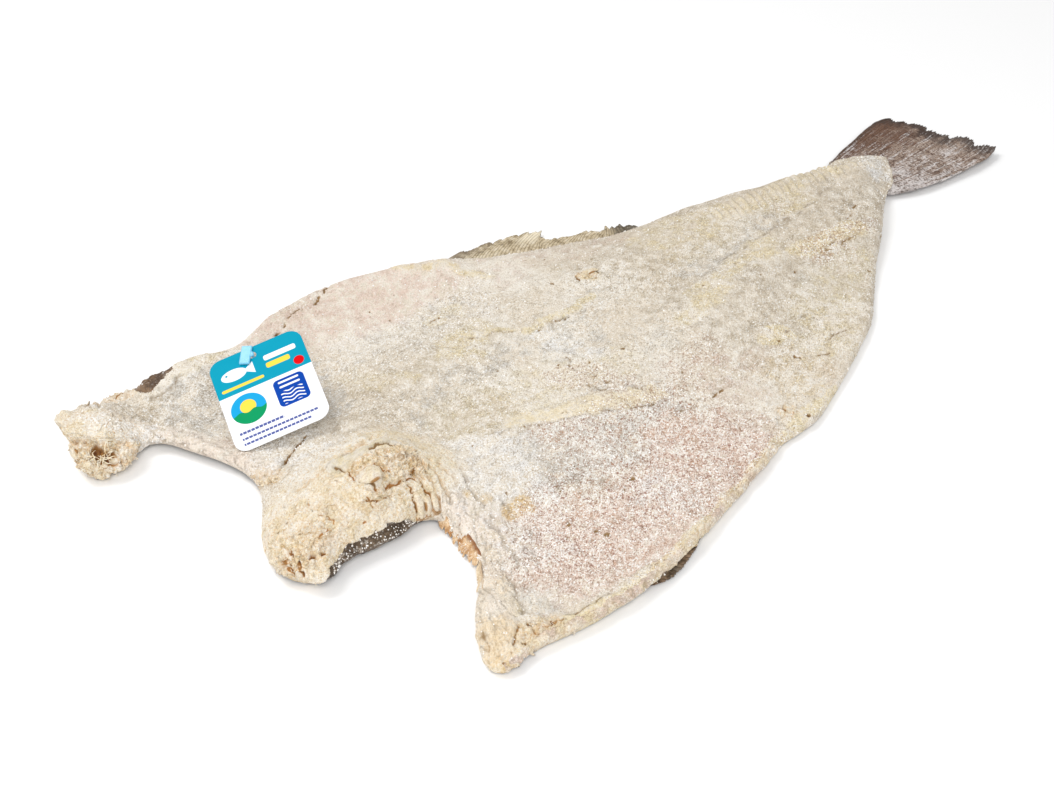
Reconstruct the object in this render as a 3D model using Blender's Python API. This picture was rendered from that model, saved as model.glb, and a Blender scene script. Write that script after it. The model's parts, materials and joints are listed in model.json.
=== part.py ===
"""Salted dried cod, split open and laid flat with the flesh up, and its card label on a plastic pin.

Metres, +Z up. The tail points to +X and the belly flaps to -X. The fish lies on its skin, on z = 0,
and the middle of the whole object's box stands over the origin.
"""
import math

import bmesh
import bpy
import numpy as np
from mathutils import Euler, Matrix, Vector
from mathutils.geometry import delaunay_2d_cdt

MM = 0.001

# Driving dimensions
TOP_GRID = 7.0 * MM          # spacing of the points on the flesh
BOTTOM_GRID = 16.0 * MM      # spacing of the points on the skin side
RIM_STEP = 7.0 * MM          # spacing of the points round the rim
RIM_HEIGHT = 0.45            # where the rim stands out furthest, as a part of the thickness
FLAP_END_RIM = 0.75          # the same at the torn end of the left flap, which overhangs
TOP_ROUND = 0.28             # how far the top edge is rounded in, as a part of the thickness
BOTTOM_ROUND = 0.38          # the same under the rim, where the skin tucks in
RIM_DROP = 0.22              # how far the top falls at its edge, as a part of the thickness
RIM_DROP_RUN = 0.9           # and how far in from the rim it does so
WING = 7.5 * MM              # thickness of the belly walls
LOIN = 9.5 * MM              # the back muscles stand this much above the wings
NAPE = 15.0 * MM             # the neck stub stands this much above the loins' level
FIN = 2.2 * MM               # thickness of a dried fin
FIN_GRID = 9.0 * MM
LABEL_WIDTH = 55.0 * MM
LABEL_HEIGHT = 65.5 * MM
LABEL_CORNER = 7.5 * MM
LABEL_THICK = 0.5 * MM
LABEL_CENTRE = Vector((-219.6, 78.0, 26.6)) * MM
LABEL_TURN = Euler([math.radians(angle) for angle in (13.8, -15.9, -27.3)])
HOLE_RADIUS = 2.2 * MM
HOLE_DROP = 5.7 * MM         # from the label's top edge to the middle of the hole
HOLE_SIDE = -1.5 * MM        # from the label's middle line to the hole
PADDLE_WIDTH = 6.2 * MM
PADDLE_LENGTH = 12.2 * MM
PADDLE_THICK = 1.6 * MM
PADDLE_EDGE = 0.35 * MM      # bevel of its edges
PADDLE_LEAN = math.radians(-25)
PADDLE_OFFSET = Vector((-3.4, 0.9, 0.0)) * MM    # from the hole to the paddle's middle
TAB_SIZE = Vector((4.6, 3.0, 1.3)) * MM          # joins the paddle to the shaft
TAB_OFFSET = Vector((-1.2, 0.0, 0.0)) * MM
PIN_RADIUS = 0.9 * MM
PIN_CLEARANCE = 0.9 * MM     # from the pin's point to the flesh, straight down
GAP = 0.3 * MM               # clearance between touching pieces

# The rim of the flesh, seen from above, in millimetres. It goes round by the fish's left, from the tail.
LEFT_EDGE = [(208, 24), (198, 25), (176, 33), (150, 40), (125, 49), (100, 58), (64, 66), (53, 71), (24, 85),
             (3, 95), (-22, 109), (-47, 122), (-64, 128), (-83, 135), (-102, 142), (-123, 147), (-145, 148),
             (-169, 146), (-195, 138), (-213, 142), (-231, 147), (-243, 147), (-255, 147), (-268, 152),
             (-280, 153), (-290, 151), (-302, 153), (-311, 150)]
LEFT_FLAP_END = [(-314, 142), (-315, 132), (-318, 122), (-319, 112), (-312, 105), (-303, 105), (-295, 104),
                 (-286, 108), (-279, 109)]
LEFT_NOTCH = [(-273, 99), (-269, 87), (-264, 74), (-261, 60), (-260, 47), (-262, 38)]
NAPE_RIM = [(-268, 27), (-276, 17), (-285, 6), (-292, -6), (-296, -19), (-294, -31), (-286, -41),
            (-277, -45), (-268, -41), (-256, -42), (-243, -45), (-230, -46), (-218, -45)]
RIGHT_NOTCH = [(-210, -50), (-212, -60), (-214, -71), (-218, -82), (-225, -94), (-237, -105), (-249, -115),
               (-260, -128), (-266, -140), (-263, -148), (-255, -150)]
RIGHT_EDGE = [(-243, -149), (-231, -151), (-214, -155), (-196, -158), (-178, -160), (-163, -159),
              (-149, -157), (-134, -156), (-120, -154), (-99, -149), (-70, -143), (-40, -137), (-20, -137),
              (-3, -137), (18, -131), (37, -125), (64, -115), (93, -104), (118, -88), (143, -71),
              (170, -55), (192, -41), (210, -30), (224, -23)]
TAIL_POINT = [(234, -18), (243, -9), (252, 3), (243, 12), (228, 20)]

# The fins and the torn pieces that show past the flesh: their outlines, seen from above, in millimetres.
TAIL_ROOT = 3.0 * MM         # height of the tail fin's underside at its root
TAIL_TIP_LIFT = 5.0 * MM     # and how much higher it is at its edge
TAIL_START = 205 * MM        # where the rise starts
TAIL_RUN = 110 * MM
TAIL_WAVE = 0.8 * MM
TAIL_WAVE_WIDTH = 5.5 * MM
TAIL_THINNING = 0.35         # how much thinner the fin is at its edge
TAIL_FIN = [(206, -17), (222, -22), (233, -26), (243, -31), (254, -36), (266, -39), (281, -41), (298, -43),
            (313, -44), (323, -42)]
TAIL_TEETH = [(314, -34), (318, -28), (313, -22), (317, -15), (311, -10), (314, -4), (308, 1), (311, 7),
              (305, 12), (309, 17), (304, 22), (307, 27)]
TAIL_FAR = [(304, 34), (290, 37), (278, 37), (266, 35), (250, 33), (236, 31), (222, 28), (212, 27), (206, 18)]
ANAL_FIN = [(-50, 112), (-52, 124), (-34, 129), (-14, 124), (6, 118), (27, 109), (21, 100), (33, 95),
            (45, 88), (56, 85), (61, 78), (72, 73), (62, 58), (20, 78), (-20, 98)]
DORSAL_FIN = [(-168, -146), (-167, -159), (-157, -161), (-145, -159), (-133, -156), (-122, -150),
              (-124, -142)]
SKIN_SCRAP = [(-262, 138), (-263, 146), (-256, 150), (-248, 151), (-240, 149), (-236, 138)]
TORN_LAYER = [(-204, -46), (-210, -45), (-213, -55), (-214, -63), (-216, -71), (-219, -78), (-214, -81),
              (-208, -76)]

# The level ones among them: outline, lowest height and thickness, in millimetres.
LEVEL_PIECES = {
    "anal_fin": (ANAL_FIN, 2.0, 2.2),
    "dorsal_fin": (DORSAL_FIN, 0.4, 2.0),
    "skin_scrap": (SKIN_SCRAP, 13.0, 2.4),
    "torn_layer": (TORN_LAYER, 1.6, 2.2),
}


def clear_scene():
    for item in list(bpy.data.objects):
        bpy.data.objects.remove(item)


def material(name, colour, roughness):
    made = bpy.data.materials.new(name)
    made.use_nodes = True
    shader = made.node_tree.nodes["Principled BSDF"]
    shader.inputs["Base Color"].default_value = (*colour, 1.0)
    shader.inputs["Roughness"].default_value = roughness
    shader.inputs["Metallic"].default_value = 0.0
    return made


def new_object(name, mesh, place):
    """Turns the bmesh into an object of that name, at its place."""
    data = bpy.data.meshes.new(name)
    mesh.to_mesh(data)
    mesh.free()
    made = bpy.data.objects.new(name, data)
    bpy.context.scene.collection.objects.link(made)
    made.matrix_world = place
    return made


# Forms that are added up to the height of the flesh

def fall(distance, reach):
    """1 at no distance, and down to exactly 0 at the reach."""
    return np.clip(1.0 - (distance / reach) ** 2, 0.0, None) ** 2


def dome(place, centre, reach):
    return fall(np.hypot(place[:, 0] - centre[0] * MM, place[:, 1] - centre[1] * MM), reach * MM)


def distance_to_path(place, path):
    """Distance from each place to a line through the path's points, all in metres."""
    nearest = np.full(len(place), np.inf)
    for start, end in zip(path[:-1], path[1:]):
        along = end - start
        share = np.clip((place - start) @ along / (along @ along), 0.0, 1.0)
        nearest = np.minimum(nearest, np.linalg.norm(place - start - share[:, None] * along, axis=1))
    return nearest


def ridge(place, path, reach):
    return fall(distance_to_path(place, np.array(path, float) * MM), reach * MM)


def lift(place):
    """Clearance under the fish: the dried flaps curl up off the table here and there."""
    left_wing = ridge(place, [(-225, 165), (-150, 170), (-70, 160)], 75) * 13.0
    left_front = ridge(place, [(-272, 98), (-262, 62)], 30) * 3.0
    right_wing = ridge(place, [(-190, -175), (-120, -175)], 28) * 4.5
    return (left_wing + left_front + right_wing) * MM


def thickness(place):
    """The flesh is thick along the back and at the neck, and thin out to the belly walls."""
    left_loin = ridge(place, [(-235, 18), (-120, 30), (20, 30), (130, 17), (225, 6)], 62)
    right_loin = ridge(place, [(-215, -22), (-110, -34), (20, -36), (130, -24), (215, -10)], 64)
    loins = LOIN * np.maximum(left_loin, right_loin)
    seam = ridge(place, [(20, -2), (240, 0)], 9) * -1.5 * MM
    nape = NAPE * ridge(place, [(-272, -20), (-218, -12)], 44)
    bone = ridge(place, [(-224, -2), (-200, 6)], 16) * 3.0 * MM
    neck_lobes = (dome(place, (-268, -2), 20) + dome(place, (-242, -28), 18)
                  + dome(place, (-280, -28), 16)) * 2.0 * MM
    flap_end = dome(place, (-304, 134), 40) * 18.0 * MM
    flap_fold = ridge(place, [(-296, 120), (-272, 90), (-262, 52)], 20) * 1.0 * MM
    flap_crack = ridge(place, [(-252, 36), (-216, 48)], 9) * -2.5 * MM
    rim_crack = ridge(place, [(-177, 130), (-150, 140), (-122, 143)], 9) * -1.5 * MM
    right_fold = ridge(place, [(-214, -62), (-234, -106), (-256, -140)], 17) * 3.5 * MM
    right_pleat = ridge(place, [(-194, -46), (-197, -90), (-222, -122)], 10) * 1.5 * MM
    cut_edge = ridge(place, [(-230, -145), (-150, -150), (-40, -131)], 10) * 1.2 * MM
    hollow = dome(place, (-196, 78), 38) * -2.0 * MM
    right_step = ridge(place, [(-150, -30), (-110, -44), (-60, -56)], 20) * 1.5 * MM
    lump = dome(place, (44, -74), 22) * 1.8 * MM
    folds = (np.sin(place[:, 0] / (19 * MM) + place[:, 1] / (31 * MM)) * 0.5 * MM
             + np.sin(place[:, 0] / (47 * MM) - place[:, 1] / (26 * MM)) * 0.7 * MM)
    return (WING + loins + seam + nape + bone + neck_lobes + flap_end + flap_fold + flap_crack
            + rim_crack + right_fold + right_pleat + cut_edge + hollow + right_step + lump + folds)


def rim_height(place):
    return RIM_HEIGHT + (FLAP_END_RIM - RIM_HEIGHT) * dome(place, (-313, 142), 24)


# Outlines

def smooth_ring(points, step):
    """A closed Catmull-Rom curve through the points, cut into steps of about the same length."""
    points = np.array(points, float) * MM
    fine = []
    count = len(points)
    for i in range(count):
        before, start, end, after = (points[(i + k) % count] for k in (-1, 0, 1, 2))
        for t in np.linspace(0.0, 1.0, 12, endpoint=False):
            fine.append(0.5 * (2 * start + (end - before) * t
                               + (2 * before - 5 * start + 4 * end - after) * t ** 2
                               + (3 * start - before - 3 * end + after) * t ** 3))
    fine = np.array(fine)
    closed = np.vstack([fine, fine[:1]])
    run = np.concatenate([[0.0], np.cumsum(np.linalg.norm(np.diff(closed, axis=0), axis=1))])
    stops = np.linspace(0.0, run[-1], round(run[-1] / step), endpoint=False)
    return np.stack([np.interp(stops, run, closed[:, k]) for k in (0, 1)], axis=1)


def inset(ring, depth):
    """The ring moved inwards, each point by its own depth. The ring goes round counterclockwise."""
    along = np.roll(ring, -1, axis=0) - np.roll(ring, 1, axis=0)
    along /= np.linalg.norm(along, axis=1)[:, None]
    inwards = np.stack([-along[:, 1], along[:, 0]], axis=1)
    return ring + inwards * depth[:, None]


def inside(place, ring):
    """Which places lie within the ring."""
    hit = np.zeros(len(place), bool)
    for start, end in zip(ring, np.roll(ring, -1, axis=0)):
        crosses = (start[1] > place[:, 1]) != (end[1] > place[:, 1])
        rise = end[1] - start[1]
        reach = start[0] + (place[:, 1] - start[1]) * (end[0] - start[0]) / (rise if rise else 1.0)
        hit ^= crosses & (place[:, 0] < reach)
    return hit


def grid_within(ring, spacing):
    """Points of a triangular grid inside the ring and clear of it."""
    low, high = ring.min(axis=0), ring.max(axis=0)
    rows = np.arange(low[1], high[1], spacing * math.sqrt(3) / 2)
    spots = [(x + (row % 2) * spacing / 2, y)
             for row, y in enumerate(rows) for x in np.arange(low[0], high[0], spacing)]
    spots = np.array(spots)
    closed = np.vstack([ring, ring[:1]])
    clear = distance_to_path(spots, closed) > 0.62 * spacing
    return spots[clear & inside(spots, ring)]


def fill(ring, spots):
    """Triangles between the ring and the spots within it. Returns the points used and the triangles."""
    points = [Vector(p) for p in np.vstack([ring, spots])]
    loop = list(range(len(ring)))
    edges = [(i, (i + 1) % len(ring)) for i in loop]
    flat, _, faces, sources, _, _ = delaunay_2d_cdt(points, edges, [loop], 1, 1e-7)
    origin = [source[0] for source in sources]
    return [[origin[i] for i in face] for face in faces]


def slab(name, ring, spacing, bottom_spacing, surfaces, rounding):
    """A closed sheet: an outer rim, and a top and a bottom filled over a grid.

    surfaces gives the lowest and the highest z at places in the plan, and rounding how far the top
    and the bottom edge stand in from the rim, as parts of the thickness.
    """
    low, high = surfaces(ring)
    depth = high - low
    rings = {}
    for side, share in zip(("top", "bottom"), rounding):
        rings[side] = inset(ring, depth * share)
    mesh = bmesh.new()

    def add(places, heights):
        return [mesh.verts.new((x, y, z)) for (x, y), z in zip(places, heights)]

    rim = add(ring, low + depth * rim_height(ring))
    for side, gap in (("top", spacing), ("bottom", bottom_spacing)):
        spots = grid_within(rings[side], gap)
        places = np.vstack([rings[side], spots])
        lower, upper = surfaces(places)
        near = distance_to_path(places, np.vstack([ring, ring[:1]]))
        if side == "top":
            rounded = np.clip(near / (RIM_DROP_RUN * (upper - lower)), 0.0, 1.0)
            heights = upper - (upper - lower) * RIM_DROP * (1.0 - rounded) ** 2
        else:
            heights = lower
        points = add(places, heights)
        for face in fill(rings[side], spots):
            mesh.faces.new([points[i] for i in face])
        for i in range(len(ring)):
            j = (i + 1) % len(ring)
            mesh.faces.new((rim[i], rim[j], points[j], points[i]))
    bmesh.ops.triangulate(mesh, faces=[f for f in mesh.faces if len(f.verts) > 3])
    bmesh.ops.recalc_face_normals(mesh, faces=mesh.faces[:])
    return new_object(name, mesh, Matrix.Identity(4))


def flesh_surfaces(place):
    low = lift(place)
    return low, low + thickness(place)


def tail_surfaces(place):
    """The tail fin rises a little from its root to its edge, in shallow waves along the rays."""
    out = np.clip((place[:, 0] - TAIL_START) / TAIL_RUN, 0.0, 1.0)
    waves = np.sin(place[:, 1] / TAIL_WAVE_WIDTH) * TAIL_WAVE * out
    low = TAIL_ROOT + TAIL_TIP_LIFT * out + waves
    return low, low + FIN * (1.0 - TAIL_THINNING * out)


def flat_surfaces(low, thick):
    """Surfaces of a level piece, for slab."""
    def surfaces(place):
        base = np.full(len(place), low)
        return base, base + thick
    return surfaces


def ring_of(points):
    """A straight-sided ring in metres, counterclockwise."""
    ring = np.array(points, float) * MM
    ahead = np.roll(ring, -1, axis=0)
    area = np.sum(ring[:, 0] * ahead[:, 1] - ahead[:, 0] * ring[:, 1])
    return ring if area > 0 else ring[::-1]


def join(body, extra):
    """The extra piece becomes part of the body."""
    union = body.modifiers.new("with " + extra.name, "BOOLEAN")
    union.operation = "UNION"
    union.solver = "EXACT"
    union.object = extra
    extra.hide_render = True
    extra.display_type = "WIRE"


def build_fish():
    rim = (LEFT_EDGE + LEFT_FLAP_END + LEFT_NOTCH + NAPE_RIM + RIGHT_NOTCH + RIGHT_EDGE + TAIL_POINT)
    fish = slab("salted_cod", smooth_ring(rim, RIM_STEP), TOP_GRID, BOTTOM_GRID, flesh_surfaces,
                (TOP_ROUND, BOTTOM_ROUND))
    fin_rounding = (0.2, 0.2)
    tail = slab("tail_fin", ring_of(TAIL_FIN + TAIL_TEETH + TAIL_FAR), FIN_GRID, FIN_GRID,
                tail_surfaces, fin_rounding)
    pieces = [tail]
    for name, (points, low, thick) in LEVEL_PIECES.items():
        pieces.append(slab(name, ring_of(points), FIN_GRID, FIN_GRID,
                           flat_surfaces(low * MM, thick * MM), fin_rounding))
    for piece in pieces:
        join(fish, piece)
    fish.data.materials.append(material("dried_flesh", (0.78, 0.70, 0.56), 0.75))
    for polygon in fish.data.polygons:
        polygon.use_smooth = True
    return fish


def label_place():
    """From the label's own plane, with x to its right and y to its top, to the object's frame."""
    return Matrix.Translation(LABEL_CENTRE) @ LABEL_TURN.to_matrix().to_4x4()


def build_label():
    half_width, half_height = LABEL_WIDTH / 2, LABEL_HEIGHT / 2
    corners = [(1, 1, 0), (-1, 1, 90), (-1, -1, 180), (1, -1, 270)]
    outline = []
    for side, end, start in corners:
        middle = (side * (half_width - LABEL_CORNER), end * (half_height - LABEL_CORNER))
        for step in range(9):
            angle = math.radians(start + step * 90 / 8)
            outline.append((middle[0] + LABEL_CORNER * math.cos(angle),
                            middle[1] + LABEL_CORNER * math.sin(angle)))
    hole = [(HOLE_SIDE + HOLE_RADIUS * math.cos(a), half_height - HOLE_DROP + HOLE_RADIUS * math.sin(a))
            for a in np.linspace(0, 2 * math.pi, 24, endpoint=False)]
    mesh = bmesh.new()
    edges = []
    for loop in (outline, hole):
        verts = [mesh.verts.new((x, y, -LABEL_THICK / 2)) for x, y in loop]
        edges += [mesh.edges.new((verts[i], verts[(i + 1) % len(verts)])) for i in range(len(verts))]
    face = bmesh.ops.triangle_fill(mesh, edges=edges, use_beauty=True)
    faces = [item for item in face["geom"] if isinstance(item, bmesh.types.BMFace)]
    raised = bmesh.ops.extrude_face_region(mesh, geom=faces)
    top = [item for item in raised["geom"] if isinstance(item, bmesh.types.BMVert)]
    bmesh.ops.translate(mesh, verts=top, vec=(0, 0, LABEL_THICK))
    bmesh.ops.recalc_face_normals(mesh, faces=mesh.faces[:])
    made = new_object("label", mesh, label_place())
    made.data.materials.append(material("printed_card", (0.75, 0.86, 0.90), 0.35))
    return made


def flesh_height(x, y):
    low, high = flesh_surfaces(np.array([[x, y]]))
    return high[0]


def block(size, middle, turn):
    """A box with bevelled edges, turned in its own plane."""
    mesh = bmesh.new()
    bmesh.ops.create_cube(mesh, size=1.0)
    bmesh.ops.scale(mesh, vec=size, verts=mesh.verts[:])
    bmesh.ops.bevel(mesh, geom=mesh.edges[:], offset=PADDLE_EDGE, segments=2, affect="EDGES")
    bmesh.ops.rotate(mesh, cent=(0, 0, 0), matrix=Matrix.Rotation(turn, 3, "Z"), verts=mesh.verts[:])
    bmesh.ops.translate(mesh, vec=middle, verts=mesh.verts[:])
    return mesh


def shaft_length(place, hole):
    """How far the pin goes under the card before its point comes near the flesh."""
    down = place.to_3x3() @ Vector((0, 0, -1))
    entry = place @ hole
    reach = 0.0
    while (entry + down * reach).z > flesh_height(*(entry + down * reach)[:2]) + PIN_CLEARANCE:
        reach += PIN_CLEARANCE / 10
    return reach


def build_pin():
    """A flat paddle beside the hole, with a tab to a shaft that goes down through the card."""
    place = label_place()
    hole = Vector((HOLE_SIDE, LABEL_HEIGHT / 2 - HOLE_DROP, 0.0))
    middle = LABEL_THICK / 2 + GAP + PADDLE_THICK / 2
    over_hole = hole + Vector((0, 0, middle))
    paddle_size = Vector((PADDLE_WIDTH, PADDLE_LENGTH, PADDLE_THICK))
    pin = new_object("label_pin", block(paddle_size, over_hole + PADDLE_OFFSET, PADDLE_LEAN), place)
    join(pin, new_object("pin_tab", block(TAB_SIZE, over_hole + TAB_OFFSET, 0.0), place))

    reach = shaft_length(place, hole)
    shaft = bmesh.new()
    bmesh.ops.create_cone(shaft, cap_ends=True, segments=16, radius1=PIN_RADIUS * 0.6, radius2=PIN_RADIUS,
                          depth=reach + middle)
    bmesh.ops.translate(shaft, vec=hole + Vector((0, 0, (middle - reach) / 2)), verts=shaft.verts[:])
    join(pin, new_object("pin_shaft", shaft, place))
    pin.data.materials.append(material("pale_blue_plastic", (0.45, 0.75, 0.86), 0.3))
    return pin


def centre_on_origin(pieces):
    """Moves every object so that the middle of the pieces' box stands over the origin."""
    bpy.context.view_layer.update()
    graph = bpy.context.evaluated_depsgraph_get()
    corners = []
    for piece in pieces:
        shaped = piece.evaluated_get(graph)
        corners += [shaped.matrix_world @ Vector(corner) for corner in shaped.bound_box]
    corners = np.array(corners)
    middle = (corners.min(axis=0) + corners.max(axis=0)) / 2
    shift = Vector((-middle[0], -middle[1], -corners[:, 2].min()))
    for item in bpy.data.objects:
        item.location += shift


clear_scene()
centre_on_origin([build_fish(), build_label(), build_pin()])
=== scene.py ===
import itertools
import json
import math

import bpy
import numpy as np
from mathutils import Euler, Matrix, Vector
from mathutils.noise import voronoi

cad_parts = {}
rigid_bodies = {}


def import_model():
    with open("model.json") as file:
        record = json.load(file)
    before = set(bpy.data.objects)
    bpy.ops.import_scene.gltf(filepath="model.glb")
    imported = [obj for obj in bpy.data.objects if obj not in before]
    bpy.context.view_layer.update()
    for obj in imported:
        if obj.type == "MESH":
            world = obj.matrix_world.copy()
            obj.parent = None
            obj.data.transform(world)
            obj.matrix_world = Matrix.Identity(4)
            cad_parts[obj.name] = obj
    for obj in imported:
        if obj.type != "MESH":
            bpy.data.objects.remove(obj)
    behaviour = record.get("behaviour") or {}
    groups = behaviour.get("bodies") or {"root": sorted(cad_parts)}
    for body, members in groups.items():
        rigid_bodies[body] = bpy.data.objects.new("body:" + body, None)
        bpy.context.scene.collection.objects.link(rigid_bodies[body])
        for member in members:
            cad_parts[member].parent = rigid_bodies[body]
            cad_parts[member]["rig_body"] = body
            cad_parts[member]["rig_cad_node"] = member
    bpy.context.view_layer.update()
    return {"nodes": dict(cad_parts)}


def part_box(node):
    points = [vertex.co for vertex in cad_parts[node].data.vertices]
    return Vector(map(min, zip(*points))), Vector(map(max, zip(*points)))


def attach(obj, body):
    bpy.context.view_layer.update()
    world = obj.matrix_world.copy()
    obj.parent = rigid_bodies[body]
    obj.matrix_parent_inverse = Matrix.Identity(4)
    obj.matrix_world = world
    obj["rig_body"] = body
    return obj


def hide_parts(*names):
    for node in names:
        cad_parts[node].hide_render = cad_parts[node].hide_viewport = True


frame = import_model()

# ---- The split fish ---------------------------------------------------------------------------------
# One cod, headed, opened down the belly and pressed flat, then salted and dried stiff, with its flesh
# up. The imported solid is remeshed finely, and its surface is worked feature by feature with formulas,
# because no operator tears, pleats and crusts dried flesh. All its measures are in millimetres.

MM = 0.001
MESH_STEP = 1.7              # on the skin side; the flesh side gets half of it, and its finest parts a quarter
SOFTENING = 5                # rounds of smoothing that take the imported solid's facets out


def pick(*things):
    """Selects these objects and nothing else."""
    bpy.ops.object.select_all(action="DESELECT")
    for thing in things:
        thing.select_set(True)
    bpy.context.view_layer.objects.active = things[0]


def free_copy(node, name):
    """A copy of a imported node, with its loose triangles merged."""
    pick(node)
    bpy.ops.object.duplicate()
    piece = bpy.context.active_object
    bpy.ops.object.parent_clear(type="CLEAR_KEEP_TRANSFORM")
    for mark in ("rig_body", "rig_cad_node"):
        del piece[mark]
    piece.name = name
    piece.data.materials.clear()
    bpy.ops.object.mode_set(mode="EDIT")
    bpy.ops.mesh.select_all(action="SELECT")
    bpy.ops.mesh.remove_doubles(threshold=0.01 * MM)
    bpy.ops.object.mode_set(mode="OBJECT")
    return piece


def shape(piece, kind, **settings):
    """Puts a modifier with these settings on the piece and applies it."""
    pick(piece)
    bpy.ops.object.modifier_add(type=kind)
    modifier = piece.modifiers[-1]
    for name, value in settings.items():
        setattr(modifier, name, value)
    bpy.ops.object.modifier_apply(modifier=modifier.name)


def spots_of(piece):
    """The places of the piece's points, in millimetres."""
    flat = np.empty(len(piece.data.vertices) * 3)
    piece.data.vertices.foreach_get("co", flat)
    return flat.reshape(-1, 3) / MM


def move_to(piece, spots):
    piece.data.vertices.foreach_set("co", (spots * MM).ravel())
    piece.data.update()


def normals_of(piece):
    flat = np.empty(len(piece.data.vertices) * 3)
    piece.data.vertices.foreach_get("normal", flat)
    return flat.reshape(-1, 3)


def store(piece, name, values):
    """Keeps one number for each point, which the material reads by this name."""
    layer = piece.data.attributes.new(name, "FLOAT", "POINT")
    layer.data.foreach_set("value", np.asarray(values, np.float32))


def read(piece, name):
    values = np.empty(len(piece.data.vertices), np.float32)
    piece.data.attributes[name].data.foreach_get("value", values)
    return values


def select_points(piece, chosen):
    """Goes into edit mode with just these points selected, and what lies between them."""
    pick(piece)
    bpy.ops.object.mode_set(mode="EDIT")
    bpy.ops.mesh.select_mode(type="VERT")
    bpy.ops.mesh.select_all(action="DESELECT")
    bpy.ops.object.mode_set(mode="OBJECT")
    piece.data.vertices.foreach_set("select", chosen)
    bpy.ops.object.mode_set(mode="EDIT")


def ease(share):
    """0 below 0, 1 above 1, and an even slope between."""
    share = np.clip(share, 0.0, 1.0)
    return share * share * (3 - 2 * share)


def path_distance(plan, path, reach=1000.0):
    """Distance in the plan from each point to a line through the path, and which side it is on.

    Points further away than the reach get the reach.
    """
    path = np.array(path, float)
    nearest = np.full(len(plan), reach)
    side = np.zeros(len(plan))
    about = np.all((plan > path.min(axis=0) - reach) & (plan < path.max(axis=0) + reach), axis=1)
    spots = plan[about]
    closest = np.full(len(spots), reach)
    sides = np.zeros(len(spots))
    for start, end in zip(path[:-1], path[1:]):
        along = end - start
        share = np.clip((spots - start) @ along / (along @ along), 0.0, 1.0)
        off = spots - start - share[:, None] * along
        distance = np.hypot(off[:, 0], off[:, 1])
        closer = distance < closest
        closest[closer] = distance[closer]
        sides[closer] = np.sign(along[0] * off[closer, 1] - along[1] * off[closer, 0])
    nearest[about] = closest
    side[about] = sides
    return nearest, side


def band(plan, path, core, reach):
    """1 within the core of a path or a single point, easing to 0 at the reach."""
    if len(path) == 1:
        distance = np.hypot(plan[:, 0] - path[0][0], plan[:, 1] - path[0][1])
    else:
        distance = path_distance(plan, path, reach)[0]
    return ease((reach - distance) / (reach - core))


def bands(plan, rows):
    """The strongest of several bands, each given as strength, core, reach and path."""
    total = np.zeros(len(plan))
    for strength, core, reach, path in rows:
        total = np.maximum(total, strength * band(plan, path, core, reach))
    return total


def lump(spots, path, radius):
    """Height, from 0 to 1, of a round-backed lump of that radius laid along a path in space."""
    path = np.array(path, float)
    height = np.zeros(len(spots))
    about = np.all((spots > path.min(axis=0) - radius) & (spots < path.max(axis=0) + radius), axis=1)
    near = spots[about]
    closest = np.full(len(near), radius)
    for start, end in zip(path[:-1], path[1:]):
        along = end - start
        share = np.clip((near - start) @ along / (along @ along), 0.0, 1.0)
        closest = np.minimum(closest, np.linalg.norm(near - start - share[:, None] * along, axis=1))
    height[about] = np.sqrt(1 - (closest / radius) ** 2)
    return height


slopes = np.random.default_rng(5).normal(size=(4096, 3)).astype(np.float32)
slopes /= np.linalg.norm(slopes, axis=1)[:, None]


def noise(spots, size, seed):
    """Smooth lumps of about that size, from about -1 to 1."""
    cells = (spots / size + seed * 7.31).astype(np.float32)
    corner = np.floor(cells)
    part = cells - corner
    smooth = part * part * part * (part * (part * 6 - 15) + 10)
    shares = (1 - smooth, smooth)
    hashed = corner.astype(np.int32) * (7919, 104729, 1299709)
    keys = (hashed, hashed + (7919, 104729, 1299709))
    total = np.zeros(len(spots), np.float32)
    for step in itertools.product((0, 1), repeat=3):
        index = keys[step[0]][:, 0] ^ keys[step[1]][:, 1] ^ keys[step[2]][:, 2]
        slope = slopes[index & 4095]
        rise = sum(slope[:, k] * (part[:, k] - step[k]) for k in range(3))
        total += shares[step[0]][:, 0] * shares[step[1]][:, 1] * shares[step[2]][:, 2] * rise
    return total * 1.7


def along_grain(spots, angle, stretch):
    """The spots turned in the plan and squeezed along that direction, so that noise comes in strands."""
    turned = spots.copy()
    turned[:, 0] = (spots[:, 0] * math.cos(angle) + spots[:, 1] * math.sin(angle)) / stretch
    turned[:, 1] = spots[:, 1] * math.cos(angle) - spots[:, 0] * math.sin(angle)
    return turned


TAIL_TIP = [(205, 29), (214, 29), (228, 29), (239, 24), (248, 16), (253, 7), (243, -5), (232, -14), (222, -19), (208, -27)]
FAR_RIM = [(-60, 131), (-49, 126), (-24, 113), (1, 99), (22, 89), (51, 75), (75, 66)]
NECK = [(-270, -12), (-240, -8), (-214, -8)]
FLAP_END = [(-304, 132), (-300, 120)]
FLANK = [(-287, -42), (-278, -41), (-268, -37), (-256, -38), (-243, -41), (-230, -42), (-217, -42)]
FLAP_RIDGE = [(-316, 156), (-314.5, 142), (-314, 134), (-312, 126), (-308, 121), (-303, 118.5), (-292, 115),
              (-283, 113)]


def fin_height(plan):
    """The middle of the tail fin's thickness: it rises to its edge in shallow waves."""
    out = np.clip((plan[:, 0] - 203) / 110, 0.0, 1.0)
    return 3.6 + 2.8 * out + 0.7 * np.sin((plan[:, 1] - 4) / 5.5) * out


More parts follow.
